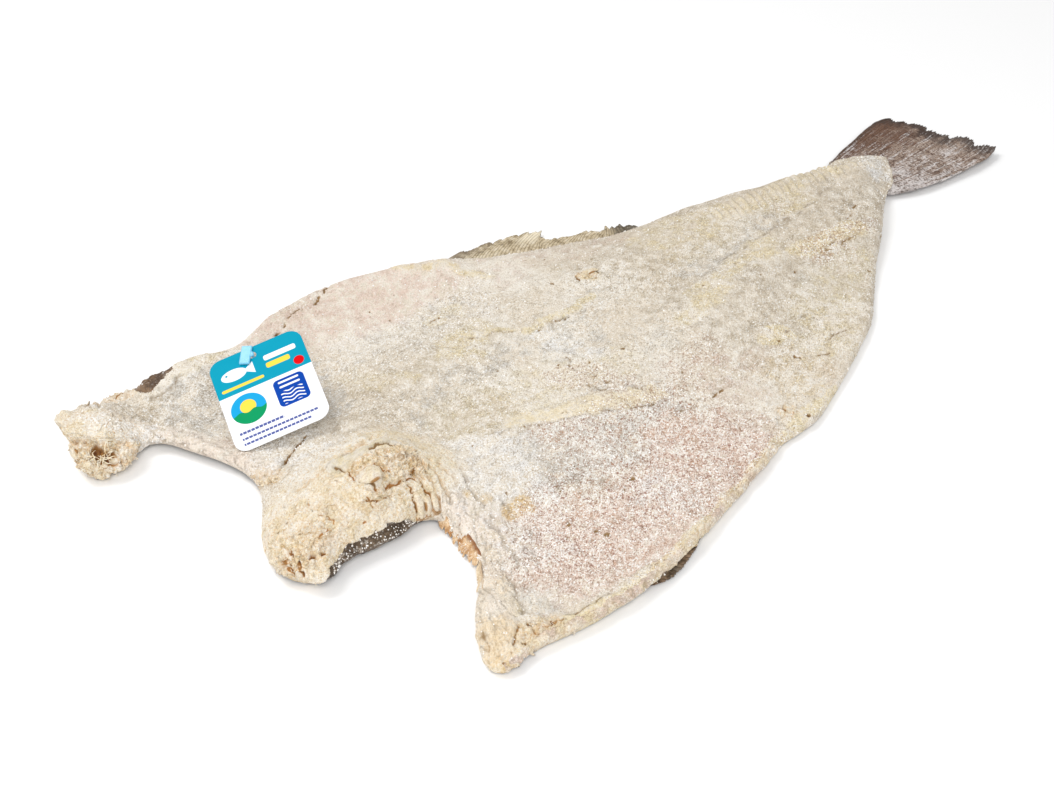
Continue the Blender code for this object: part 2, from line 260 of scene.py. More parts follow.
RIM_EDGE = [(-262, -138), (-240, -139), (-215, -148), (-190, -152), (-140, -151), (-90, -143), (-44, -132)]
SALTY = [
    (0.6, 7, 16, [(226, 2), (240, 5)]), (0.8, 4, 14, [(-164, -18), (-160, -40), (-164, -58)]),
    (0.6, 8, 20, [(-258, 14), (-228, 26)]), (0.5, 6, 18, [(-250, 54), (-240, 50)]), (0.35, 14, 40, [(-150, 84), (-80, 80)]), (0.9, 5, 13, [(-296, 126), (-284, 119)]), (0.8, 5, 14, [(-160, -58), (-160, -76)]), (0.8, 4, 10, [(-174, -84)]),
    (0.5, 16, 40, [(-170, -40), (-190, -80)]), (0.6, 10, 30, [(-120, -115)]), (0.5, 4, 12, [(-60, 20), (-60, -6)])]
body = free_copy(frame["nodes"]["salted_cod"], "flesh")
shape(body, "REMESH", mode="VOXEL", voxel_size=MESH_STEP * MM)
shape(body, "SMOOTH", factor=0.5, iterations=SOFTENING)

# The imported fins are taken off, past a margin that the detailed fins cover.
spots = spots_of(body)
plan = spots[:, :2]
tip_distance, tip_side = path_distance(plan, TAIL_TIP)
past_tip = (plan[:, 0] > 204) & (tip_side > 0) & (tip_distance > 3.5)
rim_line = np.interp(plan[:, 0], [p[0] for p in FAR_RIM], [p[1] for p in FAR_RIM])
past_rim = (plan[:, 1] > rim_line + 3.5) & (plan[:, 0] > -56) & (plan[:, 0] < 74) & (spots[:, 2] < 6.5)
select_points(body, past_tip | past_rim)
bpy.ops.mesh.delete(type="VERT")
bpy.ops.object.mode_set(mode="OBJECT")

# The flesh side gets a finer mesh, and the neck stub and the left flap's torn end the finest.
for share in (1, 2):
    fine = normals_of(body)[:, 2] > -0.3
    if share == 2:
        plan = spots_of(body)[:, :2]
        fine &= np.maximum(band(plan, NECK, 42, 43), band(plan, FLAP_END, 30, 31)) > 0.5
    select_points(body, fine)
    bpy.ops.mesh.subdivide(number_cuts=1)
    bpy.ops.object.mode_set(mode="OBJECT")
    shape(body, "SMOOTH", factor=0.5, iterations=2)

spots = spots_of(body)
normals = normals_of(body)
plan = spots[:, :2]
fine_here = np.maximum(band(plan, NECK, 42, 43), band(plan, FLAP_END, 30, 31)) > 0.5
up = ease((normals[:, 2] + 0.15) / 0.5)
drift = np.stack([noise(spots, 8, 11), noise(spots, 8, 12)], axis=1)
wandering = plan + drift * 1.5             # features drawn on it get uneven edges
bend = np.stack([noise(spots, 15, 77), noise(spots, 15, 78)], axis=1)
wandering += 2.6 * bend * ease((plan[:, :1] + 205) / 20) * ease((195 - plan[:, :1]) / 20)
broken = noise(spots, 6, 76)
drift = np.stack([noise(spots, 36, 13), noise(spots, 36, 14)], axis=1) * 14 + drift * 5
strewn = plan + drift                      # and these get quite loose ones
uneven = noise(spots, 5, 17)
jagged = wandering + np.stack([noise(spots, 2.4, 71), noise(spots, 2.4, 72)], axis=1) * 1.1

# Kinds of surface, each from 0 to 1
membrane = bands(strewn, [
    (1.0, 16, 34, [(-178, 128), (-120, 132), (-72, 122)]), (0.7, 12, 26, [(-40, 100), (20, 78), (70, 58)]),
    (0.3, 10, 26, [(-262, 122), (-235, 128), (-215, 112)])])
rolled = bands(wandering, [
    (1.0, 5, 12, [(-292, 128), (-279, 112), (-268, 92), (-260, 62), (-256, 46)]),
    (1.0, 6, 13, [(-206, -50), (-208, -72), (-226, -100), (-244, -118), (-258, -134)])])
flap_front = bands(wandering, [(1.0, 14, 26, [(-200, -60), (-206, -90), (-232, -118), (-250, -134)]),
                               (1.0, 12, 24, [(-306, 138), (-290, 124), (-276, 112)])])
gritty = bands(strewn, [
    (1.0, 20, 54, [(-175, -108), (-120, -104), (-70, -108)]),
    (0.9, 8, 22, [(-128, -48), (-100, -62), (-64, -74)]), (0.5, 6, 20, [(-40, -62), (-10, -56)]),
    (0.6, 5, 14, [(-77, -20), (-78, -40)]), (0.7, 4, 12, [(114, -34), (140, -38), (156, -44)])])
ridge_distance, ridge_side = path_distance(plan, FLAP_RIDGE, 18)
torn_face = (ridge_side < 0) * (plan[:, 0] < -282) * ease(ridge_distance / 1.5) * ease((18 - ridge_distance) / 2)
crumbly = bands(wandering, [
    (1.0, 7, 12, [(-231, -9), (-220, -15), (-210, -19)]), (0.8, 6, 14, [(-290, -22), (-276, -24)]),
    (0.6, 3, 9, [(-290, 153), (-270, 152)]), (0.5, 4, 9, [(-244, -28), (-234, -28)]),
    (0.6, 3, 8, [(-262, 44), (-256, 36)]), (0.45, 8, 20, [(-282, -8), (-262, -18)]),
    (0.8, 4, 9, [(-4, 45)]), (0.7, 4, 10, [(-15, -120)]), (0.8, 3, 8, [(-240, -137), (-228, -140)]),
    (0.24, 20, 36, [(-272, -16), (-240, -16)])])
crumbly = np.maximum(crumbly, torn_face)
smooth_lobes = bands(plan, [(1.0, 3.5, 6, [(-239, 5), (-226, 0), (-212, -4)]), (1.0, 5, 6.5, [(-235, -17.5)])])
crumbly *= 1 - smooth_lobes
neck = band(wandering, NECK, 30, 42)
scaly = bands(wandering, [(1.0, 6, 14, [(60, 22), (150, 18), (226, 12)]), (0.6, 8, 20, [(20, -18), (110, -16)])])

# Broad unevenness, then the crust, then its grain
push = up * (0.8 * noise(spots, 26, 1) + 0.5 * noise(spots, 12, 2)) * (1 - 0.5 * membrane)
bared = band(strewn * 0.35 + jagged * 0.65, [(-138, -24), (-118, -31), (-97, -44), (-78, -55), (-64, -60)], 3, 9.5)
bared *= ease(0.9 + 0.8 * noise(spots, 9, 74))
calm = 1 - np.maximum(0.62 * np.maximum(membrane, rolled), 0.7 * bared)
crusty = calm * (0.9 + 0.5 * noise(spots, 34, 3)) + 0.45 * gritty + 0.4 * crumbly + 0.15 * neck
finely = band(strewn, [(-285, 128), (-250, 122), (-210, 100)], 12, 32)
crusty += 0.08 * finely
crusty *= 1 - 0.85 * smooth_lobes
strands = along_grain(spots + 2.0 * noise(spots, 9, 6)[:, None], 0.35, 3.2)
grain = (0.62 * noise(spots, 4.4, 4) + 0.5 * noise(strands, 2.3, 5)
         + 0.45 * (0.35 - np.abs(noise(spots, 3.1, 7))) * 2)
push += up * crusty * (grain * 0.38 + 0.26 * noise(spots, 1.7, 18))
push += (1 - up) * 0.25 * noise(spots, 3.0, 10)
creases = np.zeros(len(spots))
for turn, side in [(1.02, plan[:, 1] < 0), (1.98, plan[:, 1] > 0)]:
    wrinkles = noise(along_grain(spots + drift[:, :1] * 0.3, turn, 4.5), 3.4, 75)
    creased = side * np.maximum(rolled, 0.5 * flap_front) * up * ease((0.11 - np.abs(wrinkles)) / 0.1)
    push += side * np.maximum(rolled, 0.5 * flap_front) * up * 0.7 * wrinkles - 0.8 * creased
    creases = np.maximum(creases, creased)

# Where the flesh is torn it breaks into shards: each has its own height and tilt, with clefts between, which also get
# painted shade in the colour, tinted orange.
clefts = np.zeros(len(spots))
torn = np.nonzero(crumbly > 0.05)[0]
for size, height in [(5.2, 1.5), (2.6, 0.8)]:
    nearest = [voronoi(Vector(spot / size)) for spot in spots[torn]]
    gaps = np.array([distances[1] - distances[0] for distances, points in nearest])
    middles = np.array([points[0] for distances, points in nearest])
    tilts = np.stack([noise(middles, 0.37, seed) for seed in (62, 63, 64)], axis=1)
    heights = noise(middles, 0.31, 61) + 1.5 * np.sum((spots[torn] / size - middles) * tilts, axis=1)
    cleft = ease(1 - gaps * 7)
    push[torn] += crumbly[torn] * height * (heights - 0.5 * cleft)
    clefts[torn] = np.maximum(clefts[torn], cleft * crumbly[torn])

# Muscle folds of the tail half, which run across it
fold_wave = np.sin((plan[:, 0] - 0.55 * plan[:, 1] + 2.0 * noise(spots, 16, 15)) * 2 * math.pi / 6.4)
fold_here = band(wandering, [(110, 29), (180, 20), (226, 14)], 5, 13) * (0.8 + 0.5 * noise(spots, 11, 65))
push += 0.8 * fold_wave * fold_here
chevron = np.sin((plan[:, 0] + 0.9 * np.abs(plan[:, 1] + 2) + 3 * noise(spots, 20, 16)) * 2 * math.pi / 9.0)
push += 0.2 * chevron * scaly * up

# Lumps and lobes: height, core, reach and path
for height, core, reach, path in [
        (1.8, 2, 11, [(-228, -8), (-210, -8)]), (1.6, 1.5, 4, [(-240, 5), (-226, 1), (-214, -2)]),
        (2.0, 3, 10, [(-284, -34)]), (1.6, 3, 9, [(-288, -12)]), (1.5, 4, 14, [(-262, -20), (-244, -22)]),
        (1.2, 2, 7, [(-250, 8), (-236, 12), (-216, 12)]), (-1.4, 2, 6, [(-240, 1), (-222, 2), (-210, 8)]),
        (1.6, 2, 9, [(-303, 108)]), (2.0, 2, 7, [(-293, 110)]), (1.5, 1, 6, [(-314, 130), (-312, 146)]),
        (1.6, 1, 5, [(-297, 152), (-291, 154)]), (1.5, 1, 5, [(-281, 153), (-270, 154)]),
        (1.3, 3, 10, [(-292, 124), (-276, 104), (-266, 80)]), (1.0, 2, 8, [(-258, 50), (-252, 40)]),
        (1.2, 3, 9, [(-214, -84), (-232, -106), (-252, -130)]), (1.0, 1, 6, [(-238, -100), (-256, -122)]),
        (1.4, 1, 6, [(-243, -132), (-236, -128), (-232, -133)]), (1.0, 2, 7, [(-232, -143), (-222, -145)]),
        (1.5, 0.8, 4.5, [(-238, -138), (-215, -147), (-190, -151), (-140, -150), (-90, -142), (-44, -131)]),
        (-0.9, 1, 5, [(-214, -139), (-190, -143), (-140, -142), (-90, -134), (-48, -124)]),
        (0.9, 1, 5, [(78, -9), (96, -7), (118, -7)]), (0.7, 2, 7, [(26, -66), (36, -68)]),
        (0.9, 2, 6, [(-5, 45)]), (0.8, 1, 6, [(-80, 134), (-68, 124), (-54, 120), (-48, 104), (-42, 94)]),
        (0.7, 1, 6, [(-112, 57), (-95, 47), (-84, 37), (-66, 28), (-20, 28)]),
        (0.8, 2, 8, [(-204, -54), (-197, -84), (-208, -104)]), (0.8, 1, 5, [(-28, -126), (-18, -126)])]:
    push += height * band(wandering, path, core, reach) * up

# Steps, where one layer of flesh ends over the next: height, width, reach and path, high on its left
for height, width, reach, path in [
        (2.2, 2.0, 18, [(-58, -68), (-67, -64.5), (-81, -59), (-97, -51.5), (-116, -43), (-131, -34), (-138, -29.5),
                        (-149, -25)]),
        (1.1, 1.4, 14, [(84, -72), (60, -71), (48, -71), (38, -73)]),
        (0.7, 1.4, 10, [(-40, -79), (-56, -79), (-72, -78)]),
        (0.8, 1.6, 12, [(-112, 60), (-96, 50), (-86, 39), (-66, 30)]),
        (1.2, 1.6, 10, [(160, -46), (147, -40), (131, -39), (118, -37), (104, -31)])]:
    distance, side = path_distance(wandering, path, reach)
    push += height * (ease(0.5 - distance * side / width) - 0.5) * ease((reach - distance) / reach) * up * -1

# Cracks and creases: depth, width, how brown, and path
stain = np.zeros(len(spots))
shadowed = np.zeros(len(spots))
for depth, width, brown, path in [
        (1.9, 1.7, 1.0, [(-245, 40), (-240, 42.5), (-235, 46), (-229, 47.5), (-222, 51.5)]),
        (0.8, 1.6, 0.3, [(-256, 35), (-250, 37), (-245, 40)]),
        (2.0, 1.8, 0.8, [(192, -15.5), (186, -18), (178, -22), (170, -25.5), (162, -29)]),
        (1.6, 1.5, 1.0, [(-180, 134), (-172, 136), (-163, 141), (-156, 143.5), (-149, 144)]),
        (1.4, 1.7, 0.9, [(-148, 142), (-140, 141.5), (-134, 143.5), (-127, 147), (-122, 149)]),
        (1.4, 1.15, 0.8, [(-240, 4), (-239, -3), (-240, -12)]), (1.2, 1.3, 0.8, [(-240, -17), (-237, -23)]),
        (2.0, 1.4, 0.7, [(-231, -25), (-222, -26), (-214, -27.5), (-209, -23)]),
        (1.4, 1.1, 0.9, [(-247, -25), (-242, -27), (-236, -28.5)]), (1.1, 1.0, 0.8, [(-243, -24), (-245, -29)]),
        (1.6, 1.2, 0.8, [(-219, -29), (-219, -34), (-224, -38)]), (1.6, 1.2, 0.8, [(-213, -33), (-212, -39)]),
        (2.0, 1.6, 0.9, [(-289.5, -20), (-291.5, -25), (-291.3, -31)]),
        (1.8, 1.5, 0.9, [(-287, -30), (-283, -30.6), (-278, -32.5)]), (1.3, 1.3, 0.7, [(-294, -19), (-295, -28)]),
        (0.9, 1.1, 0.7, [(-275, -26), (-270, -24)]), (0.8, 1.1, 0.6, [(-268, -16), (-264, -23)]),
        (0.9, 1.5, 0.2, [(-262, 10), (-250, 7), (-240, 9), (-226, 7), (-216, 8)]),
        (1.2, 1.5, 0.7, [(-222, -4), (-213, -6), (-206, -12)]), (1.0, 1.4, 0.7, [(-228, -13), (-224, -20)]),
        (1.4, 1.1, 0.4, [(-213, -16), (-210, -24), (-212, -33), (-215, -38)]),
        (0.8, 1.1, 0.15, [(-208, -17), (-205, -25), (-207, -35), (-211, -42)]),
        (0.7, 1.0, 0.15, [(-204, -20), (-200, -28), (-202, -38), (-206, -47)]),
        (0.5, 1.0, 0.1, [(-198, -24), (-194, -32), (-196, -42), (-200, -52)]), (0.9, 1.4, 0.6, [(-198, -20), (-193, -26)]),
        (1.6, 1.9, 0.15, [(-187, -32), (-192, -48), (-194, -58), (-195, -66)]),
        (1.1, 1.6, 0.15, [(-200, -62), (-201, -78), (-207, -93), (-211, -101)]),
        (1.1, 1.6, 0.25, [(-183, -56), (-184, -68), (-188, -84), (-190, -90)]),
        (1.4, 1.8, 0.25, [(-220, -103), (-222, -110), (-228, -118), (-233, -126)]),
        (1.5, 1.6, 0.6, [(-252, -139), (-247, -135), (-241, -131)]), (1.1, 1.2, 0.5, [(-239, -138), (-239, -144)]),
        (1.0, 1.5, 0.5, [(-236, -140), (-228, -142), (-222, -145)]),
        (0.9, 1.6, 0.3, [(-256, -118), (-246, -106), (-236, -100)]), (0.8, 1.4, 0.4, [(-262, -132), (-256, -122)]),
        (1.2, 1.1, 0.6, [(-71.7, -2), (-76, -9), (-79, -17), (-78, -26), (-78.3, -34), (-74.6, -42)]),
        (1.0, 1.05, 0.6, [(-87, -28), (-86, -33), (-84.5, -39), (-79, -42)]),
        (0.9, 1.05, 0.5, [(-105, 50), (-94, 43.5), (-82, 37), (-72, 27), (-52, 25.5), (-42, 23), (-30, 22)]),
        (1.0, 1.1, 0.55, [(-138, -31), (-124, -40), (-108, -48), (-92, -55.5), (-76, -63), (-62, -68)]),
        (0.9, 1.1, 0.4, [(-25, -30), (-21, -28.5), (-13, -27)]), (0.8, 1.2, 0.5, [(-115, 17), (-109, 15)]),
        (0.9, 1.3, 0.55, [(-60, -58), (-66, -54), (-70, -50)]), (1.0, 1.4, 0.5, [(-53, -81), (-62, -78), (-72, -78)]),
        (0.8, 1.2, 0.5, [(-219, -143), (-205, -146), (-190, -146)]), (0.8, 1.3, 0.5, [(-99.9, 83.8), (-93, 84.6)]),
        (0.8, 1.1, 0.5, [(114, -33), (124, -36), (131, -36.5), (147, -37), (158, -42)]),
        (0.9, 1.3, 0.8, [(-42, -83), (-30, -83), (-22, -84)]),
        (1.3, 1.6, 0.8, [(28, -89), (33, -93), (38, -98), (43, -101), (47, -101)]),
        (0.8, 1.5, 0.4, [(40, -74), (50, -72), (60, -71.5)]), (0.8, 1.6, 0.5, [(54, -92), (66, -95), (74, -98)]),
        (1.0, 1.8, 0.5, [(110, -30), (118, -36), (126, -39), (136, -43), (152, -43)]),
        (0.9, 1.6, 0.3, [(162, -24), (180, -20), (196, -13), (199, -12)]),
        (0.9, 2.2, 0.15, [(44, -6), (58, -4), (70, -3), (84, -4), (100, -2), (124, -3)]),
        (0.35, 1.8, 0.3, [(130, -1), (150, -3), (172, 1), (190, 3)]),
        (1.3, 1.6, 0.3, [(-293, 140), (-289, 149), (-284, 156)]), (1.2, 1.6, 0.8, [(-277, 150), (-269, 154)]),
        (1.0, 1.5, 0.5, [(-298, 146), (-292, 151)]), (0.8, 1.5, 0.3, [(-262, 138), (-250, 136), (-240, 140)]),
        (0.8, 1.6, 0.25, [(-131, -85), (-133, -96)]), (0.8, 1.4, 0.6, [(-132, -101), (-122, -100)]),
        (0.7, 1.6, 0.3, [(204, 15), (212, 20), (226, 20), (240, 12)]),
        (1.0, 1.6, 0.9, [(-13, 43), (-9, 49), (-2, 50), (4, 46), (3, 41), (-4, 38)])]:
    distance = path_distance(jagged, path, 2 * width)[0]
    open_here = ease(np.where(plan[:, 0] > -200, 0.6 + 1.5 * broken, 1.35 + uneven))
    groove = ease(1 - distance / (width * 0.9)) * open_here
    push -= 1.15 * depth * groove * up
    stain = np.maximum(stain, brown * ease(1.0 - distance / (width * 0.7)) * open_here * up)
    shadowed = np.maximum(shadowed, (1 - brown) * ease(1.2 - distance / width) * open_here * up)

shadowed = np.maximum(shadowed, 0.7 * creases)

# Pits and holes: depth, radius, how brown, and middle. The last ones are pinholes strewn over the flesh.
scatter = np.random.default_rng(73)
pinholes = [(0.8, scatter.uniform(0.8, 1.3), scatter.uniform(0.4, 1.0), scatter.uniform((-200, -120), (190, 120)))
            for hole in range(70)]
for depth, radius, brown, middle in pinholes + [
        (1.8, 2.6, 0.9, (-119, -97)), (1.2, 1.8, 0.8, (-116, -94)), (1.6, 2.4, 0.9, (-24, 56)),
        (1.5, 2.0, 0.8, (3, 42)), (1.0, 1.4, 0.5, (-47, 12)), (1.0, 1.6, 0.8, (-37, -58)),
        (1.6, 2.2, 1.0, (28, -88)), (1.4, 2.2, 0.7, (88, -42)), (1.8, 2.2, 1.0, (-236, -134)),
        (1.6, 1.8, 1.0, (-228, -141)), (1.2, 1.2, 0.9, (-246, -140)), (1.4, 2.4, 0.9, (-15, -117)),
        (1.4, 2.0, 1.0, (-15, -123)), (1.6, 2.4, 1.0, (-10, -130)), (1.2, 1.8, 0.8, (-117, -43)),
        (1.0, 1.6, 0.7, (-252, -32)), (0.9, 1.5, 0.5, (-266, -5)), (1.0, 1.6, 0.8, (-178, -60)),
        (1.0, 1.8, 0.6, (-99, 83)), (1.0, 1.6, 0.7, (-93, 84)), (1.0, 1.8, 0.8, (-177, -104)),
        (1.1, 2.2, 0.8, (-164, -112)), (1.0, 1.8, 0.8, (-162, -119)), (1.0, 1.6, 0.4, (-102, -56)),
        (0.9, 1.6, 0.7, (206, 16)), (1.2, 2.0, 0.9, (214, 25)), (0.9, 1.5, 0.5, (-195, 50)),
        (1.0, 1.7, 0.8, (-262, -143)), (1.0, 1.6, 0.8, (-256, -141))]:
    radius = 0.75 * radius + 0.5 * noise(np.array([(*middle, 0.0)]), 9, 88)[0]
    hollow = band(jagged, [middle], 0.1, radius)
    push -= depth * hollow * up
    stain = np.maximum(stain, 0.9 * brown * band(jagged, [middle], 0.1, radius + 0.3) * up)

# The left flap ends in a ridge, and the torn face under it is undercut, with a ragged hole and nodules.
push += 1.0 * ease(1 - ridge_distance / 3.5) * (ridge_side > 0) * (plan[:, 0] < -282)
push -= 0.8 * torn_face * ease((5 - ridge_distance) / 4)
HOLE = [(-312, 116, 16.5), (-311, 114.5, 13), (-308.5, 113.5, 10.5)]
hole = lump(spots + noise(spots, 3.5, 21)[:, None] * 1.6, HOLE, 4.7)
streak = band(wandering, [(-316, 131), (-314, 125)], 0.4, 2.0)
push -= 6.5 * hole + 0.5 * streak
# The hole's inside is painted dark brown: partly the torn flesh's own orange-brown, partly painted shade in the hole.
# The streak under the ridge is painted shade with a brown tint.
stain = np.maximum(stain, np.clip(hole * 1.3, 0, 1) * (0.75 + 0.35 * noise(spots, 2.2, 22)))
stain = np.maximum(stain, 0.25 * streak)

# Round-backed lumps along short paths in space: radius, height and path. The first is the backbone's
# end; the others are nodules of the torn face.
for radius, height, path in [
        (6.0, 2.6, [(-236.5, -17.5, 30), (-232.5, -17.5, 30.5)]),
        (3.8, 2.6, [(-306, 110, 7.4), (-304, 109.6, 8.6)]), (3.0, 2.2, [(-303, 108.7, 4.6), (-301.5, 108.5, 5.4)]),
        (3.2, 2.2, [(-297.5, 111, 11), (-295.5, 111.3, 11.8)]), (2.6, 1.8, [(-294, 111.8, 10.4), (-292, 112.2, 11)]),
        (3.2, 2.2, [(-319, 114.5, 7.2), (-317.4, 113.6, 7.6)]), (3.4, 2.3, [(-314, 111, 8), (-312, 110.5, 7.4)]),
        (2.8, 2.0, [(-310, 109.8, 8.6), (-308.6, 109.7, 7)]), (3.0, 2.0, [(-319.4, 118.6, 10.4), (-319, 117, 9.6)]),
        (3.2, 2.0, [(-318.4, 132.5, 12), (-318, 130, 13)]), (2.2, 1.4, [(-315, 138, 17.6), (-314.6, 136, 18.2)]),
        (2.6, 1.6, [(-315, 131.6, 18), (-314.4, 130, 18.4)]), (2.2, 1.4, [(-313.8, 126, 18.8), (-312.6, 124.6, 19)]),
        (2.0, 1.4, [(-306, 117.6, 17), (-304.6, 116.8, 16.6)]), (3.4, 2.0, [(-319.6, 125, 8), (-319.6, 122, 8.6)]),
        (3.0, 1.8, [(-316, 112.4, 3), (-312, 110, 3)]), (3.0, 1.6, [(-300, 110.6, 9.6), (-299, 110.2, 8)]),
        (4.0, 1.6, [(-294, -19, 12), (-292.5, -27, 12.5)]), (4.4, 1.8, [(-290, -34, 10), (-285, -37.5, 10)]),
        (4.0, 1.4, [(-283, -27, 20), (-280, -29, 20)]), (3.2, 1.5, [(-275, -19, 24), (-272.6, -20.6, 24)]),
        (2.6, 0.8, [(-206, -26, 26), (-210, -40, 14)]), (2.2, 0.7, [(-203, -30, 22), (-207, -44, 12)])]:
    push += height * lump(spots, path, radius)

FINGERS = [([(-217, -32.5, 20.6), (-219.2, -37, 16.4), (-221.6, -40.8, 9.6)], 2.5),
           ([(-213.4, -36, 18.2), (-215.6, -39.2, 14), (-217, -41.6, 9.0)], 2.2),
           ([(-208.6, -37.6, 18.4), (-211.4, -41, 14), (-213, -43, 11)], 1.9)]
# Painted shade on the flesh around and under the hanging finger lobes, where they meet it
for path, width in FINGERS:
    shade_around_fingers = ease((lump(spots, path, width + 1.1) - 0.2) / 0.3) * ease((19.5 - spots[:, 2]) / 5)
    stain = np.maximum(stain, 0.42 * shade_around_fingers * ease(0.8 + noise(spots, 2.6, 89)))

# Skin shows underneath, up the flank of the neck stub, and where the far rim is torn and folded over.
ragged = noise(spots, 6, 31) * 2.2 + noise(spots, 2.2, 32) * 1.1
flank_top = np.interp(plan[:, 0], [-292, -287, -284, -281, -272, -266, -255, -240, -231, -225, -216],
                      [3, 5, 8, 12, 12, 15, 14.5, 16, 13.5, 10, 4])
on_flank = band(plan, FLANK, 7.5, 8.5) * (spots[:, 2] < flank_top + ragged * 0.7) * (normals[:, 2] < 0.75)
scrap = band(wandering, [(-260, 147.5), (-252, 150), (-243, 151.5)], 5.4, 6.4)
rim_strip = bands(plan, [(1.0, 5, 8, [(-168, -152), (-150, -153), (-132, -150)]), (1.0, 3, 5, [(-254, -144), (-246, -145)])])
rim_strip *= (spots[:, 2] < 5.2 + ragged * 0.5) & (normals[:, 2] < 0.6)
underneath = normals[:, 2] < -0.66 + 0.04 * ragged
skin = (underneath | (on_flank > 0.5) | (scrap > 0.5) | (rim_strip > 0.5)).astype(float)
push = np.where(skin > 0.5, 0.0, push)
scales = 0.35 * np.abs(noise(spots, 2.2, 33)) + 0.3 * noise(spots, 6, 34)
push = np.where((skin > 0.5) & (on_flank + rim_strip > 0.5), -1.1 + scales * 2.2, push)
push = np.where(scrap > 0.5, -1.1 + 1.6 * np.abs(noise(spots, 2.8, 35)), push)

# Where the flesh ends on the tail fin it thins out over it, and past its edge it dips into the fin.
tip_distance, tip_side = path_distance(plan + 0.35 * (wandering - plan), TAIL_TIP)
inside = np.where(tip_side > 0, -tip_distance, tip_distance)
above_fin = spots[:, 2] - fin_height(plan) - 1.0
near_tip = (plan[:, 0] > 200) & (above_fin > 0)
thinned = 0.7 + above_fin * (0.1 + 0.9 * ease(inside / 24)) - 2.2 * ease(-inside / 1.6)
share = ease((plan[:, 0] - 200) / 14)
spots[:, 2] += np.where(near_tip, share * (thinned - above_fin), 0.0)
push *= 1 - 0.75 * share * ease((18 - tip_distance) / 14)

spots += normals * push[:, None]
spots[:, 2] *= 1 + 0.28 * band(plan, [(-315, 152)], 2, 13)       # the left flap's corner curls up
spots[:, 2] = np.maximum(spots[:, 2], 0.02)
move_to(body, spots)
flesh_spots = spots
flesh_normals = normals_of(body)

# Colours of the crust, each from 0 to 1, with the uneven edges of the features
# relief is the grain's height; the material also turns it into painted shade in the grain's hollows and painted light
# on its peaks
store(body, "relief", np.clip(grain * 0.5 + 0.5, 0, 1))
store(body, "crust", np.clip(crusty * 0.75 + 0.25 * finely, 0, 1))
store(body, "gritty", gritty)
store(body, "clefts", clefts)
store(body, "stain", stain)
store(body, "shadowed", shadowed)
store(body, "skin", skin)
half = np.interp(plan[:, 0], [-310, -200, -60, 60, 200, 240], [152, 150, 128, 86, 26, 22])
belly = np.abs(plan[:, 1]) / half
store(body, "belly", ease((belly - 0.5 + 0.08 * noise(spots, 18, 36)) / 0.4))
store(body, "side_line", ease((1.3 - np.abs(belly - 0.4) * half) / 0.8))
store(body, "browned", np.maximum(scrap, 0.8 * rim_strip))
store(body, "yellow", np.maximum(bands(strewn, [
    (0.45, 7, 16, [(-160, 74), (-158, 60)]), (0.7, 3, 9, [(-100, 84), (-90, 83)]),
    (0.8, 5, 11, [(24, -66), (36, -66)]), (0.6, 3, 14, [(0, -18), (60, -18), (110, -12)]),
    (0.4, 3, 12, [(110, 30), (160, 22), (205, 16)]), (0.6, 6, 18, [(-120, 40), (-90, 62)]),
    (0.35, 8, 26, [(60, 20), (110, 16)]), (0.45, 10, 34, [(130, -46), (60, -88), (10, -100)]),
    (0.5, 2, 9, [(-240, 148), (-210, 142)]), (0.2, 20, 60, [(-130, 66), (-40, 44), (30, 30)]),
    (0.4, 10, 30, [(-150, 0), (-100, -10), (-60, -30)]), (0.5, 6, 20, [(160, 10), (120, 22), (60, 40)])]),
    bands(wandering, [
        (0.5, 22, 40, NECK), (0.6, 10, 26, [(-306, 124), (-298, 116)]), (0.9, 3, 8, [(203, 16), (214, 24)]),
        (0.75, 1, 5, [(-112, 57), (-95, 47), (-84, 41), (-72, 30), (-52, 29), (-42, 27), (-20, 28)]),
        (0.7, 1, 6, [(-80, 134), (-68, 124), (-54, 120), (-48, 106), (-42, 94)]),
        (0.9, 3, 8, [(-214, -80), (-216, -86)]), (1.0, 8, 20, [(-256, -130), (-262, -142)]),
        (0.8, 2, 6, [(-224, -104), (-236, -122)]), (0.7, 2, 6, [(-228, -92), (-243, -106), (-256, -122)]),
        (0.9, 1.5, 6, [(-228, -144), (-214, -148), (-186, -151), (-160, -151.5), (-130, -149), (-90, -142),
                       (-40, -132), (20, -124)]),
        (0.7, 4, 12, [(-4, 44)]), (0.6, 2, 7, [(-190, -24)]),
        (1.0, 4, 11, [(108, -30), (131, -34), (156, -38)])])))
store(body, "folded", ease(fold_wave * 0.8) * fold_here)
store(body, "bared", bared)
store(body, "rolled", rolled)
flap_cream = bands(wandering, [(0.9, 5, 16, [(-316, 144), (-306, 128), (-292, 119)]),
                               (0.6, 2, 8, [(-300, 152), (-276, 152), (-266, 150)]),
                               (0.5, 6, 16, [(-258, -138), (-236, -140)])])
creamy = np.maximum(np.maximum(band(wandering, NECK, 27, 42), flap_cream), 0.9 * np.maximum(crumbly, torn_face))
store(body, "cream", creamy * (1 - smooth_lobes))
store(body, "golden", bands(wandering, [
    (1.0, 3, 8, [(-184, -71), (-176, -72)]), (0.6, 2, 6, [(-194, -48), (-190, -56)]), (0.5, 3, 7, [(-262, -142)])]))
store(body, "dusky", np.maximum(
    ease((plan[:, 0] + 40 + 25 * noise(spots, 40, 66)) / 90) * ease((plan[:, 1] + 140) / 50)
    * (1 - bands(strewn, [(0.55, 10, 24, [(36, -94), (86, -82)]), (0.4, 10, 24, [(196, 2), (216, 2)])])),
    bands(strewn, [(1.0, 12, 30, [(-264, 128), (-245, 118), (-205, 100)]), (0.4, 12, 34, [(-178, 128), (-120, 132)]), (0.8, 24, 60, [(-180, 40), (-120, 60)]),
                   (0.9, 14, 40, [(-160, 0), (-150, -60)]), (0.6, 8, 20, [(-276, 104), (-262, 76)])])))
